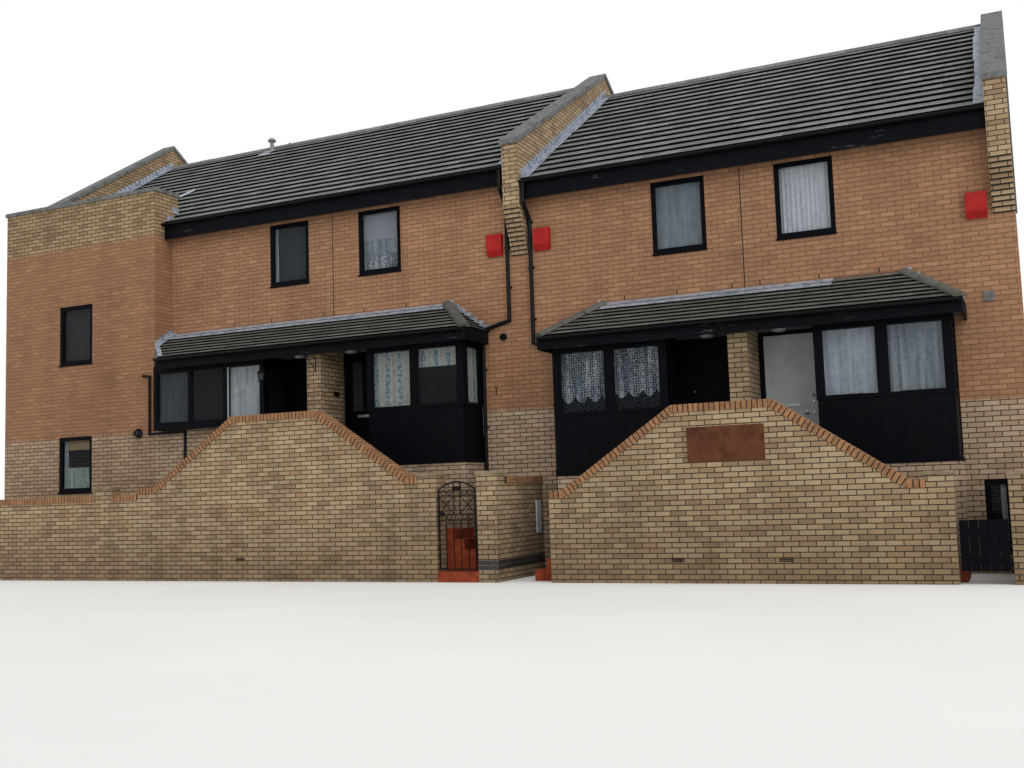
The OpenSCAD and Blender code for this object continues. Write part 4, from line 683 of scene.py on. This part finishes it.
def coping_bricks(rng):
    """Brick-on-edge copings of the stair walls and garden walls, and the caps of their piers."""
    shape = Shape()
    bed, proud = COPING_BED, COPING_PROUD
    low_walls = ((GABLE_X, -8010), (-7610, -6980))
    side_walls = ((32, 278, PIER_BACK, YARD_TOP), (7585, 7830, -1480, SIDE_TOP))
    brick_coping(shape, stair_line(-6980, -4800, -3080, -1118, 1550, 2730), rng)
    brick_coping(shape, stair_line(1150, 3140, 4520, 6510, 1250, 2430), rng)
    for x0, x1 in low_walls:
        brick_coping(shape, [(x0, LOW_WALL_TOP), (x1, LOW_WALL_TOP)], rng)
    for x0, x1, y0, top in side_walls:
        count = round(-y0 / COURSE)
        for k in range(count):
            ya, yb = y0 + k * -y0 / count, y0 + (k + 1) * -y0 / count
            shape.box(x0 - proud, x1 + proud, ya + bed, yb - bed, top - EDGE_H, top + proud,
                      tint=rng.random())
    shape.piece("coping_bricks", ["brick on edge"], "edge_brick", bevel=3)
    # Thin caps on the piers, and the mortar beds of the coping bricks on the low walls
    caps, inset, thick = Shape(), 22, 46
    for x0, x1, y1, z0 in ((-1162, -742, PIER_BACK, 1665), (-108, 312, PIER_BACK, 1665),
                           (6465, 6885, PIER_BACK, 1420), (7445, 7865, PIER_BACK, 1380),
                           (-8055, -7565, -1530, 1665)):
        caps.box(x0 + inset, x1 - inset, -1833, y1 - inset, z0, z0 + thick, tint=rng.random())
    beds = [(x0, x1, y0, 0, top - EDGE_H) for x0, x1, y0, top in side_walls]
    beds += [(x0, x1, WALL_FRONT, WALL_BACK, LOW_WALL_TOP) for x0, x1 in low_walls]
    for x0, x1, y0, y1, z0 in beds:
        caps.box(x0, x1, y0, y1, z0, z0 + EDGE_H, kind=1)
    caps.piece("pier_caps", ["weathered cap stone", "coping mortar and painted shade"], "stone", replaces=("garden_copings",),
               bevel=6)


def corbel_shade_strips():
    """Near-black strips under each corbelled course of the party walls' piers, front and rear: painted shade
    of the courses' shadowed undersides, drawn over the bed joints.
    """
    shape = Shape()
    step, proud = CORBEL_OUT / CORBELS, 1.5
    for x0, x1, foot in ((-PARTY, PARTY, MIDDLE_FOOT), (END_X, END_OUT, END_FOOT)):
        for k in range(CORBELS):
            z, out = foot + k * COURSE, (k + 1) * step + proud
            for a, b in ((-out, -k * step), (REAR_Y + k * step, REAR_Y + out)):
                shape.box(x0 - proud, x1 + proud, a, b, z - 2, z + 11)
    shape.piece("corbel_shade_strips", ["coping mortar and painted shade"], "edge_brick")


def damp_course(rng):
    """Two courses of blue engineering brick round the foot of the yard wall between the pairs."""
    shape = Shape()
    proud, joint, foot = 4, 5, 188
    west, east, yard, brick = -62, 268, 230, 3 * COURSE
    for course in range(2):
        z0 = foot + course * COURSE + joint
        z1 = z0 + COURSE - 2 * joint
        half = course * brick / 2
        ends = [west + half + brick * k for k in (1, 2)]
        cuts = [west] + [x for x in ends if x < yard] + [east]
        for a, b in zip(cuts, cuts[1:]):
            shape.box(a + joint, b - joint, WALL_FRONT - proud, -1806, z0, z1, tint=rng.random())
        cuts = [WALL_FRONT] + [WALL_FRONT + 112 - half + brick * k for k in range(1, 9)] + [-1]
        for a, b in zip(cuts, cuts[1:]):
            shape.box(east - proud, east + proud, a + joint, b - joint, z0, z1, tint=rng.random())
    shape.piece("damp_course", ["blue engineering brick"], "edge_brick", bevel=2)


def stepped_flashing(shape, x, side, foot_z):
    """Lead let into the joints in steps beside a wall at x, and turned out over the front's tiles."""
    rise = math.tan(PITCH)
    tread = COURSE / rise
    near, far = sorted((x, x + side * 5))
    for k in range(math.floor(ROOF_RUN * rise / COURSE)):
        ya, za = EAVES_Y + k * tread, foot_z + k * COURSE
        shape.along_x([(ya, za), (ya + tread + 12, za + COURSE), (ya + tread + 12, za + 2 * COURSE + 95),
                       (ya, za + 2 * COURSE + 60)], near, far)
    cover, sheets, thick = 150, 6, 8
    for k in range(sheets):
        ya, yb = EAVES_Y + ROOF_RUN * k / sheets, EAVES_Y + ROOF_RUN * (k + 1) / sheets
        za, zb = foot_z + (ya - EAVES_Y) * rise, foot_z + (yb - EAVES_Y) * rise
        a, b = sorted((x, x + side * (cover + 18 * math.sin(5 * k))))
        low = [(a, ya, za + 54), (b, ya, za + 54), (b, yb + 8, zb + 59), (a, yb + 8, zb + 59)]
        shape.prism(low, [(px, py, pz + thick) for px, py, pz in low])


def left_roof_point(x, y, lift):
    """The point at x and y so far above the left main roof's front slope."""
    return x, y, EAVES_Z + STEP_UP + (y - EAVES_Y) * math.tan(PITCH) + lift


def lead_work():
    """Lead flashings, covers, soakers and the saddle behind the end house's parapet."""
    shape = Shape()
    for x, side, lift in ((PARTY, 1, 0), (-PARTY, -1, STEP_UP), (END_X, -1, 0), (GABLE_IN, 1, STEP_UP)):
        stepped_flashing(shape, x, side, EAVES_Z + lift)
    slope = (BAY_TOP_Z - BAY_EDGE_Z) / -BAY_EDGE_Y
    for x0, x1, lift in ((BLOCK_X, LEFT_BAY_END - HIP_RUN, STEP_UP), (RIGHT_BAY_START + HIP_RUN, 5210, 0)):
        z = BAY_TOP_Z + lift
        foot = z - 250 * slope
        sheets = max(1, round((x1 - x0) / 1500))
        for k in range(sheets):
            a, b = x0 + (x1 - x0) * k / sheets, x0 + (x1 - x0) * (k + 1) / sheets + 20
            shape.box(a, b, -6 - 2 * (k % 2), -1, z - 40, z + 14)
            shape.along_x([(-4, z + 3), (-250, foot + 36), (-250, foot + 44), (-4, z + 12)], a, b)
    # A lead saddle behind the return's coping, and soakers down its side
    saddle = [(-8990, 1290), (-8760, 1290), (-8640, 1700), (-8760, 1850)]
    shape.prism(*([left_roof_point(x, y, lift) for x, y in saddle] for lift in (52, 60)))
    for y, z in ((-40, 7110), (110, 7330)):
        shape.box(BLOCK_X + 1, BLOCK_X + 7, y - 110, y + 70, z - 60, z + 70)
    # A lead strip down the cut end of the wide bay's roof, and steps of lead up the wall beside it
    z, width = BAY_EDGE_Z + STEP_UP + 36, 120
    turn = BLOCK_X + BAY_CUT
    ends = [(turn, BAY_EDGE_Y), (turn + width, BAY_EDGE_Y), (BLOCK_X + width, BLOCK_Y), (BLOCK_X + width, -4),
            (BLOCK_X, -4), (BLOCK_X, BLOCK_Y)]
    low = [(x, y, z + (y - BAY_EDGE_Y) * slope) for x, y in ends]
    shape.prism(low, [(x, y, h + 8) for x, y, h in low])
    tread = 124
    for k in range(4):
        y, h = BLOCK_Y + tread * k, z + (450 + tread * k) * slope
        shape.along_x([(y, h), (y + tread, h + tread * slope), (y + tread, h + tread * slope + 70),
                       (y, h + tread)], BLOCK_X, BLOCK_X + 5)
    # Steps of lead where the hips meet the wall
    steps = 7
    for foot, head, lift in ((LEFT_BAY_END, LEFT_BAY_END - HIP_RUN, STEP_UP),
                             (RIGHT_BAY_END, RIGHT_BAY_END - HIP_RUN, 0),
                             (RIGHT_BAY_START, RIGHT_BAY_START + HIP_RUN, 0)):
        for k in range(steps):
            xa, xb = foot + (head - foot) * k / steps, foot + (head - foot) * (k + 1) / steps
            za = BAY_EDGE_Z + lift + (BAY_TOP_Z - BAY_EDGE_Z) * k / steps
            zb = za + (BAY_TOP_Z - BAY_EDGE_Z) / steps
            shape.along_y([(xa, za), (xb, zb), (xb, zb + 60), (xa, zb + 60)], -6, -1)
    shape.piece("lead_flashings", ["sheet lead"], "stone")


def roof_vents():
    """Two vent pipes through the left roof by its ridge, one under a mushroom cowl and with its slate."""
    vents, slates = Shape(), Shape()
    ridge_z = EAVES_Z + STEP_UP + ROOF_RUN * math.tan(PITCH)
    for x, y, radius, high, cowl in ((-8371, 4150, 48, 330, 95), (-8070, 4460, 42, 260, 52)):
        foot = ridge_z - abs(RIDGE_Y - y) * math.tan(PITCH)
        vents.turned((x, y, foot), (0, 0, 1), [
            (0, radius), (high - 95, radius), (high - 90, cowl), (high - 60, cowl + 4),
            (high - 25, cowl * 0.75), (high, cowl * 0.3)])
        if y < RIDGE_Y:
            slate = [(x - 190, y - 330), (x + 130, y - 330), (x + 130, y - 20), (x - 190, y - 20)]
            slates.prism(*([left_roof_point(u, v, lift) for u, v in slate] for lift in (36, 42)))
    vents.piece("roof_vents", ["grey moulded plastic"], "stone")
    slates.piece("vent_slate", ["sheet lead"], "stone")


def window_trim():
    """Casements and sills of the windows; stiles, sills and battens of the bays, and a black board inside one
    bay as painted shade.
    """
    shape = Shape()
    block_x, member = GABLE_X + 1560, 78
    openings = [(x, 0, SILL_Z, WINDOW_W, WINDOW_H) for x in RIGHT_WINDOWS]
    openings += [(x, 0, SILL_Z + STEP_UP, WINDOW_W, WINDOW_H) for x in LEFT_WINDOWS]
    openings += [(block_x, BLOCK_Y, 1665, WINDOW_W, 1120), (block_x, BLOCK_Y, 4280, WINDOW_W, 1215),
                 (7140, 0, 350, 360, 980)]
    for x, y, z, w, h in openings:
        front, back = y + 12, y + 32
        for a, b in ((x, x + member), (x + w - member, x + w)):
            shape.box(a, b, front, back, z, z + h)
        for a, b in ((z, z + member), (z + h - member, z + h)):
            shape.box(x + 70, x + w - 70, front, back, a, b)
        shape.box(x - 6, x + w + 6, y - 22, y + 40, z - 34, z)
    pane, stile, low, high, face = 815, 42, 2605, 3590, -735
    for left, right, lift in ((-2695, -795, STEP_UP), (860, 2760, 0), (5000, 6900, 0)):
        for x in (left + 90, right - 90 - pane):
            for a, b in ((x - 6, x + stile), (x + pane - stile, x + pane + 6)):
                shape.box(a, b, face - 10, face + 8, low + lift, high + lift)
        # The sill under the boards returns round both ends
        sill, boards, head = 1595 + lift, 1660 + lift, 2550 + lift
        shape.box(left - 15, right + 15, face - 30, face, sill, boards)
        for a, b in ((left - 15, left + 15), (right - 15, right + 15)):
            shape.box(a, b, face, 0, sill, boards)
        middle = (left + right) / 2
        for a, b in ((left + 20, left + 95), (middle - 55, middle + 55), (right - 95, right - 20)):
            shape.box(a, b, face - 6, face + 1, boards, head)
        shape.box(left + 20, right - 20, face - 5, face + 1, boards, boards + 90)
    shape.piece("window_casements", ["black stained softwood"], "black_paint", bevel=2)
    # A black board inside the lace bay, up to the height of its hems: painted shade of the dark room below
    # them
    shade_board = Shape()
    shade_board.box(925, 2695, -600, -585, 2560, 2900)
    shade_board.piece("bay_shade_board", ["black stained softwood"], "black_paint")


def curtain(name, finish, carrier, x0, x1, y, z0, z1, folds, depth, scallop=0, sideways=False):
    """Gathered cloth behind a pane, hung from its head, with a scalloped hem where given. Where it hangs
    sideways, x and y change places."""
    across, down, lobes = max(40, folds * 8), 10, 3.5
    points, faces = [], []
    for j in range(down + 1):
        for i in range(across + 1):
            u = i / across
            swing = math.sin(2 * math.pi * folds * u + 0.6 * math.sin(9 * u))
            run, set_back = x0 + (x1 - x0) * u, y + depth * swing * (0.6 + 0.4 * j / down)
            hem = z0 + scallop * (1 - abs(math.sin(math.pi * lobes * u)))
            points.append((*((set_back, run) if sideways else (run, set_back)), z1 + (hem - z1) * j / down))
    for j in range(down):
        for i in range(across):
            a = j * (across + 1) + i
            faces.append([a, a + 1, a + across + 2, a + across + 1])
    shape = Shape()
    shape.add(points, faces)
    piece = shape.piece(name, [finish], "white_plastic", smooth=True)


# Cloth behind the panes, listed under the name of the frames' node: name, finish, left and right ends, depth
# of the cloth in the wall, hem, head, folds, depth of a fold, and the height of the hem's scallops
CLOTH = {
    "window_frames": (
        ("window_side_1", "shaded net", -5262, -5185, 100, 5530, 6610, 2, 8, 0),
        # A dark voile painted as the shade of the room behind
        ("window_voile_1", "room shade voile", -5175, -4472, 108, 5530, 6610, 7, 8, 0),
        # In this window a pale sheet is a painted reflection of the sky, and the net below it a painted
        # reflection of a building
        ("window_sky_reflection_2", "painted sky reflection", -3240, -2445, 100, 6110, 6612, 1, 1, 0),
        ("window_building_reflection_2", "shaded net", -3240, -2445, 108, 5530, 6112, 6, 8, 0),
        ("window_lace_2", "cotton lace", -3110, -2460, 88, 5545, 5850, 5, 6, 0),
        ("window_net_3", "grey net", 2448, 3237, 100, 5228, 6300, 5, 7, 0),
        ("window_net_4", "pale net", 4470, 5259, 100, 5228, 6312, 11, 11, 0),
        ("kitchen_net", "kitchen net", -10264, -9471, -398, 1722, 2160, 12, 9, 0),
        ("kitchen_blind", "linen blind", -10200, -9471, -402, 2520, 2728, 1, 1, 0),
        ("landing_voile", "black voile", -10264, -9471, -398, 4290, 5485, 8, 8, 0),
        ("kitchen_side", "shaded net", -10264, -10160, -402, 2160, 2728, 1, 4, 0),
        ("area_net", "white voile and painted sky reflection", 7345, 7444, 100, 408, 1272, 2, 6, 0),
    ),
    "left_bay_frames": (
        # A dim voile painted as the shade of the room behind
        ("bay_voile_1", "dim voile", -7470, -6723, -655, 2925, 3872, 6, 9, 0),
        # A pale voile here is a painted reflection of the sky in this pane
        ("bay_sky_reflection_2", "white voile and painted sky reflection", -5760, -5030, -655, 2925, 3872, 5, 8, 0),
        ("bay_print_1", "printed cotton", -2600, -1795, -655, 2925, 3872, 5, 8, 0),
        ("bay_print_2", "printed cotton", -1695, -890, -655, 3560, 3872, 5, 6, 0),
    ),
    "right_bay_frames": (
        ("bay_lace_1", "cotton lace", 955, 1760, -655, 2760, 3572, 5, 10, 110),
        ("bay_lace_2", "cotton lace", 1860, 2665, -655, 2790, 3572, 5, 10, 110),
        ("bay_net_3", "lavender net", 5095, 5900, -655, 2625, 3572, 4, 8, 0),
        ("bay_net_4", "shaded net", 6000, 6805, -655, 2625, 3572, 7, 10, 0),
    ),
}


def curtains():
    """Hangs every cloth of the table, and the one in the left bay's side light."""
    for carrier, rows in CLOTH.items():
        for name, finish, *sizes in rows:
            curtain(name, finish, carrier, *sizes)
    curtain("bay_print_3", "printed cotton", "left_bay_frames", -572, -62, -880, 2902, 3872, 3, 6,
            sideways=True)


def door_details():
    """Door furniture and the glazed strip, each riding on its own leaf."""
    face = 41
    for door, x, z, finish, slot in (
            ("left_house_1_door", -4450, 2870, "dulled brass", "black_paint"),
            ("left_house_2_door", -3285, 2850, "satin steel", "black_paint"),
            ("right_house_1_door", 3240, 2560, "dulled brass", "black_paint"),
            ("right_house_2_door", 4500, 2560, "satin steel", "grey_paint")):
        shape = Shape()
        shape.box(x - 120, x + 120, face - 7, face, z - 24, z + 24)
        shape.box(x - 102, x + 102, face - 12, face - 6, z - 15, z + 15)
        shape.piece(door + "_letter_plate", [finish], slot, door + "_leaf", bevel=2)
    knob = [(0, 32), (5, 32), (6, 12), (30, 11), (36, 22), (48, 27), (58, 20), (62, 8)]
    lock = [(0, 24), (6, 24), (8, 18), (10, 18)]
    latch = [(distance, radius * 0.6) for distance, radius in knob]
    for door, finish, turned in (
            ("right_house_2_door", "satin steel",
             ((4714, 2440, knob), (4828, 2602, lock), (4819, 2434, lock))),
            ("right_house_1_door", "dulled brass", ((2975, 2866, latch),))):
        shape = Shape()
        for x, z, profile in turned:
            shape.turned((x, face, z), (0, -1, 0), profile)
        shape.piece(door + "_knobs", [finish], "black_paint", door + "_leaf")
    strip, bead = Shape(), 22
    x0, x1, z0, z1 = -3500, -3290, 2950, 3860
    strip.box(x0, x1, face - 3, face + 1, z0, z1, kind=1)
    for a, b, c, d in ((x0 - bead, x0, z0 - bead, z1 + bead), (x1, x1 + bead, z0 - bead, z1 + bead),
                       (x0, x1, z0 - bead, z0), (x0, x1, z1, z1 + bead)):
        strip.box(a, b, face - 12, face + 1, c, d)
    strip.piece("left_house_2_door_light", ["black stained softwood", "dark door glass"], "black_paint",
                "left_house_2_door_leaf", bevel=2)


def lamps():
    """Opal lamps under the porches, a black spotlight on the end house and a coach lamp on the wide bay."""
    lens, metal, glazing = Shape(), Shape(), Shape()
    for x, z in ((-4375, 4020), (-3255, 4020), (3320, 3720), (4440, 3720)):
        lens.turned((x, -375, z), (0, 0, -1), [(0, 104), (14, 110), (34, 106), (52, 84), (60, 45)])
    aim = Vector((1.0, -0.25, 0.0)).normalized()
    foot = Vector((-8262, -560, 2762))
    metal.turned(foot, aim, [(0, 16), (45, 34), (150, 78), (186, 90), (190, 84), (172, 62)])
    glazing.turned(foot + aim * 168, aim, [(0, 66), (12, 60), (20, 40), (24, 12)])
    metal.box(-8235, -8195, -545, -500, 2745, 2779)
    x, y, top = -4907, -850, 3786
    metal.tube([(x, -735, top - 150), (x, y + 30, top - 150), (x, y, top - 120), (x, y, top - 40)], 9, 10)
    metal.turned((x, y, top), (0, 0, -1), [(0, 10), (20, 22), (30, 30), (95, 82), (104, 84), (106, 66)], 6)
    glazing.turned((x, y, top - 106), (0, 0, -1), [(0, 62), (120, 44)], 6)
    for k in range(6):
        turn = math.pi / 3 * k
        reach = Vector((math.cos(turn), math.sin(turn), 0))
        head, base = Vector((x, y, top - 104)) + reach * 66, Vector((x, y, top - 228)) + reach * 47
        metal.tube([head, base], 5, 6)
    finial = [(0, 50), (10, 50), (30, 26), (70, 16), (98, 22), (106, 8)]
    metal.turned((x, y, top - 226), (0, 0, -1), finial, 6)
    lens.piece("lamp_lenses", ["opal polycarbonate"], "white_plastic", replaces=("wall_lights",))
    metal.piece("lamp_housings", ["black wrought iron"], "black_iron")
    glazing.piece("lamp_glazing", ["dark door glass"], "glass")


def rain_goods():
    """Gutter brackets and pipe clips."""
    shape = Shape()
    outer, strap, spacing = 58, 54, 850
    turns = [math.pi + math.pi * j / 10 for j in range(11)]
    for x0, x1, y, z in ((BLOCK_X, -PARTY, -280, 6980), (PARTY, END_X, -280, 6680),
                         (BLOCK_X + BAY_CUT, LEFT_BAY_END, -1030, 4130),
                         (RIGHT_BAY_START, RIGHT_BAY_END, -1030, 3830)):
        count = round((x1 - x0) / spacing)
        outline = [(y + outer * math.cos(t), z + outer * math.sin(t)) for t in turns]
        outline += [(y + strap * math.cos(t), z + strap * math.sin(t)) for t in turns[::-1]]
        for k in range(count + 1):
            x = x0 + 20 + (x1 - x0 - 40) * k / count
            shape.along_x(outline, x - 12, x + 12)
    for x, heights in ((-230, (4900, 5600, 6300)), (-752, (600, 1500, 2500, 3500)), (210, (4300, 5200, 6000)),
                       (580, (600, 1700, 2800))):
        for z in heights:
            shape.tube([(x, -38, z - 18), (x, -38, z + 18)], 40, 20)
            shape.box(x - 58 if x < 0 else x - 62, x + 62, -12, -1, z - 14, z + 14)
    shape.piece("brackets_and_clips", ["black uPVC"], "black_plastic")


def wall_fittings():
    """Movement joints, weep vents, and the small fittings on the brickwork."""
    joints, weep_z = Shape(), 4470
    for x, lift in ((3870, 0), (-3870, STEP_UP)):
        joints.box(x - 9, x + 9, -1.5, 2, 4437 + lift, 6400 + lift)
    joints.box(5225, 6250, -2, 2, 4448, 4460)
    for x in (1865, 2762, 3665, 4110, 5017, 5900, -6200, -5300, -4100, -3200, -2300):
        z = weep_z + (STEP_UP if x < 0 else 0)
        joints.box(x - 10, x + 10, -2, 2, z, z + 70)
    joints.piece("joints_and_weeps", ["dark mastic"], "black_plastic")
    vent, x = Shape(), -361
    vent.turned((x, 0, 4050), (0, -1, 0), [(0, 62), (40, 62), (46, 50), (30, 44)])
    for z in (4020, 4044, 4068):
        vent.box(x - 44, x + 44, -38, -30, z, z + 12)
    vent.piece("round_vent", ["black uPVC"], "black_plastic")
    grille = Shape()
    grille.box(7310, 7460, -22, 0, 3884, 4024)
    for z in range(3896, 4001, 26):
        grille.box(7322, 7448, -34, -20, z, z + 8)
    grille.piece("square_vent", ["grey moulded plastic"], "stone", bevel=2)
    # Slotted air bricks low in the stair walls, and a forked hook by the middle downpipe
    slots, x = Shape(), -530
    for mid, low in ((-4653, 342), (3118, 301), (4646, 298)):
        for z in (low, low + 22, low + 44):
            slots.box(mid - 95, mid + 95, -1804, -1798, z, z + 14)
    slots.tube([(x - 35, -14, 3190), (x, -14, 3160), (x, -14, 3070), (x, 0, 3040)], 7, 8)
    slots.tube([(x + 35, -14, 3190), (x, -14, 3160)], 7, 8)
    slots.piece("air_bricks_and_hook", ["black uPVC"], "black_plastic")
    for name, finish, slot, bevel, box in (
            ("wall_plate", "rusted steel sheet", "edge_brick", 2, (3330, 4440, -1803, -1779, 1705, 2205)),
            ("cable_cover", "pale grey painted door", "stone", 3, (268, 290, -318, -140, 690, 1225))):
        plate = Shape()
        plate.box(*box)
        plate.piece(name, [finish], slot, bevel=bevel)
    iron = Shape()
    x, y, top, foot, reach = -3772, -757, 3888, 3653, 255
    iron.box(x - 9, x + 9, y, y + 6, foot - 15, top + 15)
    iron.tube([(x, y, top), (x, y - reach, top), (x, y - reach - 5, top + 22)], 7, 8)
    iron.tube([(x, y, foot), (x, y - reach * 0.95, top - 8)], 6, 8)
    iron.box(-3665, -3659, -345, -165, 3215, 3300)
    iron.piece("basket_bracket", ["black wrought iron"], "black_iron", bevel=1)
    bead = Shape()
    bead.box(-5796, -5766, -733, -704, 2915, 3880)
    bead.piece("white_bead", ["white painted bead"], "white_plastic", bevel=2)


# Settings and operators


class HouseRowSettings(bpy.types.PropertyGroup):
    tile_thickness: bpy.props.FloatProperty(
        name="Tile thickness", description="Height of a main roof tile's lower edge",
        default=44 * MM, min=20 * MM, max=60 * MM, unit="LENGTH")
    mortar_edge: bpy.props.FloatProperty(
        name="Mortar edge", description="Width of the mortar along each side of a brick",
        default=7.2 * MM, min=4 * MM, max=10 * MM, unit="LENGTH")
    # Painted shade: darkens the end house's brick, on which the scene's light falls more strongly than on the
    # rest of the row
    end_house_shade: bpy.props.FloatVectorProperty(
        name="End house tint", description="Tint of the end house's batch of bricks",
        default=linear("#ece7df")[:3], min=0.0, max=1.0, size=3, subtype="COLOR")
    glass_tint: bpy.props.FloatProperty(
        name="Glass tint", description="How much of the room behind the panes the glass hides",
        default=0.18, min=0.0, max=1.0, subtype="FACTOR")
    tile_seed: bpy.props.IntProperty(
        name="Tile seed", description="Seed of the tiles' and bricks' small differences",
        default=7, min=0, subtype="UNSIGNED")
    daylight: bpy.props.FloatProperty(
        name="Daylight", description="Strength of the overcast sky", default=0.75, min=0.0, max=3.0)


class Dresser:
    """Shared by the operators: the settings and a seeded source of small differences."""

    bl_options = {"REGISTER", "UNDO"}

    @property
    def opts(self):
        return bpy.context.scene.house_row

    @property
    def rng(self):
        return random.Random(self.opts.tile_seed)


class HOUSEROW_OT_finishes(Dresser, bpy.types.Operator):
    """Makes the materials and gives them to the solids"""

    bl_idname = "houserow.finishes"
    bl_label = "Finishes"

    def execute(self, context):
        make_materials(self.opts)
        finish_solids()
        return {"FINISHED"}


class HOUSEROW_OT_roofs(Dresser, bpy.types.Operator):
    """Lays roof tiles, ridge tiles and lead"""

    bl_idname = "houserow.roofs"
    bl_label = "Roofs"

    def execute(self, context):
        rng = self.rng
        roof_tiles(rng, self.opts.tile_thickness / MM)
        ridge_run(rng)
        bay_tiles(rng)
        lead_work()
        roof_vents()
        return {"FINISHED"}


class HOUSEROW_OT_walls(Dresser, bpy.types.Operator):
    """Lays the copings of brick on edge and fixes the small wall fittings"""

    bl_idname = "houserow.walls"
    bl_label = "Walls"

    def execute(self, context):
        coping_bricks(self.rng)
        corbel_shade_strips()
        damp_course(self.rng)
        wall_fittings()
        rain_goods()
        lamps()
        return {"FINISHED"}


class HOUSEROW_OT_openings(Dresser, bpy.types.Operator):
    """Trims windows and doors and hangs the curtains"""

    bl_idname = "houserow.openings"
    bl_label = "Windows and doors"

    def execute(self, context):
        window_trim()
        door_details()
        curtains()
        return {"FINISHED"}


# The camera that the photograph gives: where it stands in millimetres, how it is turned in degrees,
# and its focal length and picture width in pixels
CAMERA_AT = (7830, -17320, 1355)
YAW, TILT, ROLL = 24.977, 5.581, -1.88
FOCAL_PX, PHOTO_WIDTH = 1114.9, 1024
FLOOR_HALF, FLOOR_Z = 120.0, -0.002


class HOUSEROW_OT_stage(Dresser, bpy.types.Operator):
    """Sets the floor, the daylight and the camera at the photograph's angle"""

    bl_idname = "houserow.stage"
    bl_label = "Stage"

    def execute(self, context):
        scene = context.scene
        self.floor(scene)
        self.light(scene)
        self.camera(scene)
        scene.view_settings.view_transform = "Standard"
        return {"FINISHED"}

    def floor(self, scene):
        """A level studio floor of matt off-white paper."""
        tree, where = new_material("studio floor")
        clouds = node(tree, "ValToRGB", {"Fac": node(tree, "TexNoise", blobs(where, 5000))},
                      ((0.3, "#e0e0de"), (0.7, "#e8e8e6")))
        tone = node(tree, "Mix", {"Factor": 0.03, 6: clouds, 7: "#e4e4e2"}, data_type="RGBA")
        close_material(tree, tone, 0.9)
        mesh = bpy.data.meshes.new("floor")
        corners = ((-1, -1), (1, -1), (1, 1), (-1, 1))
        mesh.from_pydata([(x * FLOOR_HALF, y * FLOOR_HALF, FLOOR_Z) for x, y in corners], [], [(0, 1, 2, 3)])
        mesh.materials.append(bpy.data.materials["studio floor"])
        floor = bpy.data.objects.new("floor", mesh)
        scene.collection.objects.link(floor)

    def light(self, scene):
        """An overcast sky that looks white to the camera and in glass, and one broad soft key."""
        world = bpy.data.worlds.new("overcast sky")
        scene.world = world
        world.use_nodes = True
        tree = world.node_tree
        tree.nodes.clear()
        path = node(tree, "LightPath").outputs
        seen = node(tree, "Math", {0: path["Is Camera Ray"], 1: path["Is Glossy Ray"]}, operation="MAXIMUM")
        seen = node(tree, "Math", {0: seen, 1: path["Is Transmission Ray"]}, operation="MAXIMUM")
        strength = node(tree, "Mix", {"Factor": seen, 2: self.opts.daylight, 3: 1.0})
        sky = node(tree, "Background", {"Color": WHITE, "Strength": strength})
        node(tree, "OutputWorld", {"Surface": sky})
        sun = bpy.data.lights.new("soft key", "SUN")
        sun.energy, sun.angle = 2.0, math.radians(80)
        lamp = bpy.data.objects.new("soft key", sun)
        lamp.rotation_euler = Vector((1.1, -0.75, 0.95)).to_track_quat("Z", "Y").to_euler()
        scene.collection.objects.link(lamp)

    def camera(self, scene):
        """The street view, with the photograph's place, turn and focal length."""
        yaw, tilt, roll = (math.radians(angle) for angle in (YAW, TILT, ROLL))
        forward = Vector((-math.sin(yaw) * math.cos(tilt), math.cos(yaw) * math.cos(tilt), math.sin(tilt)))
        level = Vector((math.cos(yaw), math.sin(yaw), 0))
        lift = level.cross(forward)
        right = level * math.cos(roll) + lift * math.sin(roll)
        up = -level * math.sin(roll) + lift * math.cos(roll)
        data = bpy.data.cameras.new("street view")
        data.sensor_width = 36.0
        data.lens = FOCAL_PX / PHOTO_WIDTH * data.sensor_width
        data.clip_end = 400.0
        camera = bpy.data.objects.new("street view", data)
        turn = Matrix((right, up, -forward)).transposed().to_4x4()
        camera.matrix_world = Matrix.Translation(place(*CAMERA_AT)) @ turn
        scene.collection.objects.link(camera)
        scene.camera = camera


class HOUSEROW_PT_panel(bpy.types.Panel):
    """Lists the row's settings and steps"""

    bl_label = "House Row"
    bl_idname = "HOUSEROW_PT_panel"
    bl_space_type = "VIEW_3D"
    bl_region_type = "UI"
    bl_category = "House Row"

    def draw(self, context):
        for name in HouseRowSettings.__annotations__:
            self.layout.prop(context.scene.house_row, name)
        for step in STEPS:
            self.layout.operator(step.bl_idname)


STEPS = (HOUSEROW_OT_finishes, HOUSEROW_OT_roofs, HOUSEROW_OT_walls, HOUSEROW_OT_openings, HOUSEROW_OT_stage)
CLASSES = (HouseRowSettings, *STEPS, HOUSEROW_PT_panel)


def register():
    """Adds the settings, the operators and the panel."""
    for each in CLASSES:
        bpy.utils.register_class(each)
    bpy.types.Scene.house_row = bpy.props.PointerProperty(type=HouseRowSettings)


def unregister():
    """Takes them away again."""
    del bpy.types.Scene.house_row
    for each in reversed(CLASSES):
        bpy.utils.unregister_class(each)


def main():
    """Dresses the row step by step."""
    register()
    for step in STEPS:
        group, name = step.bl_idname.split(".")
        getattr(getattr(bpy.ops, group), name)()


if __name__ == "__main__":
    main()
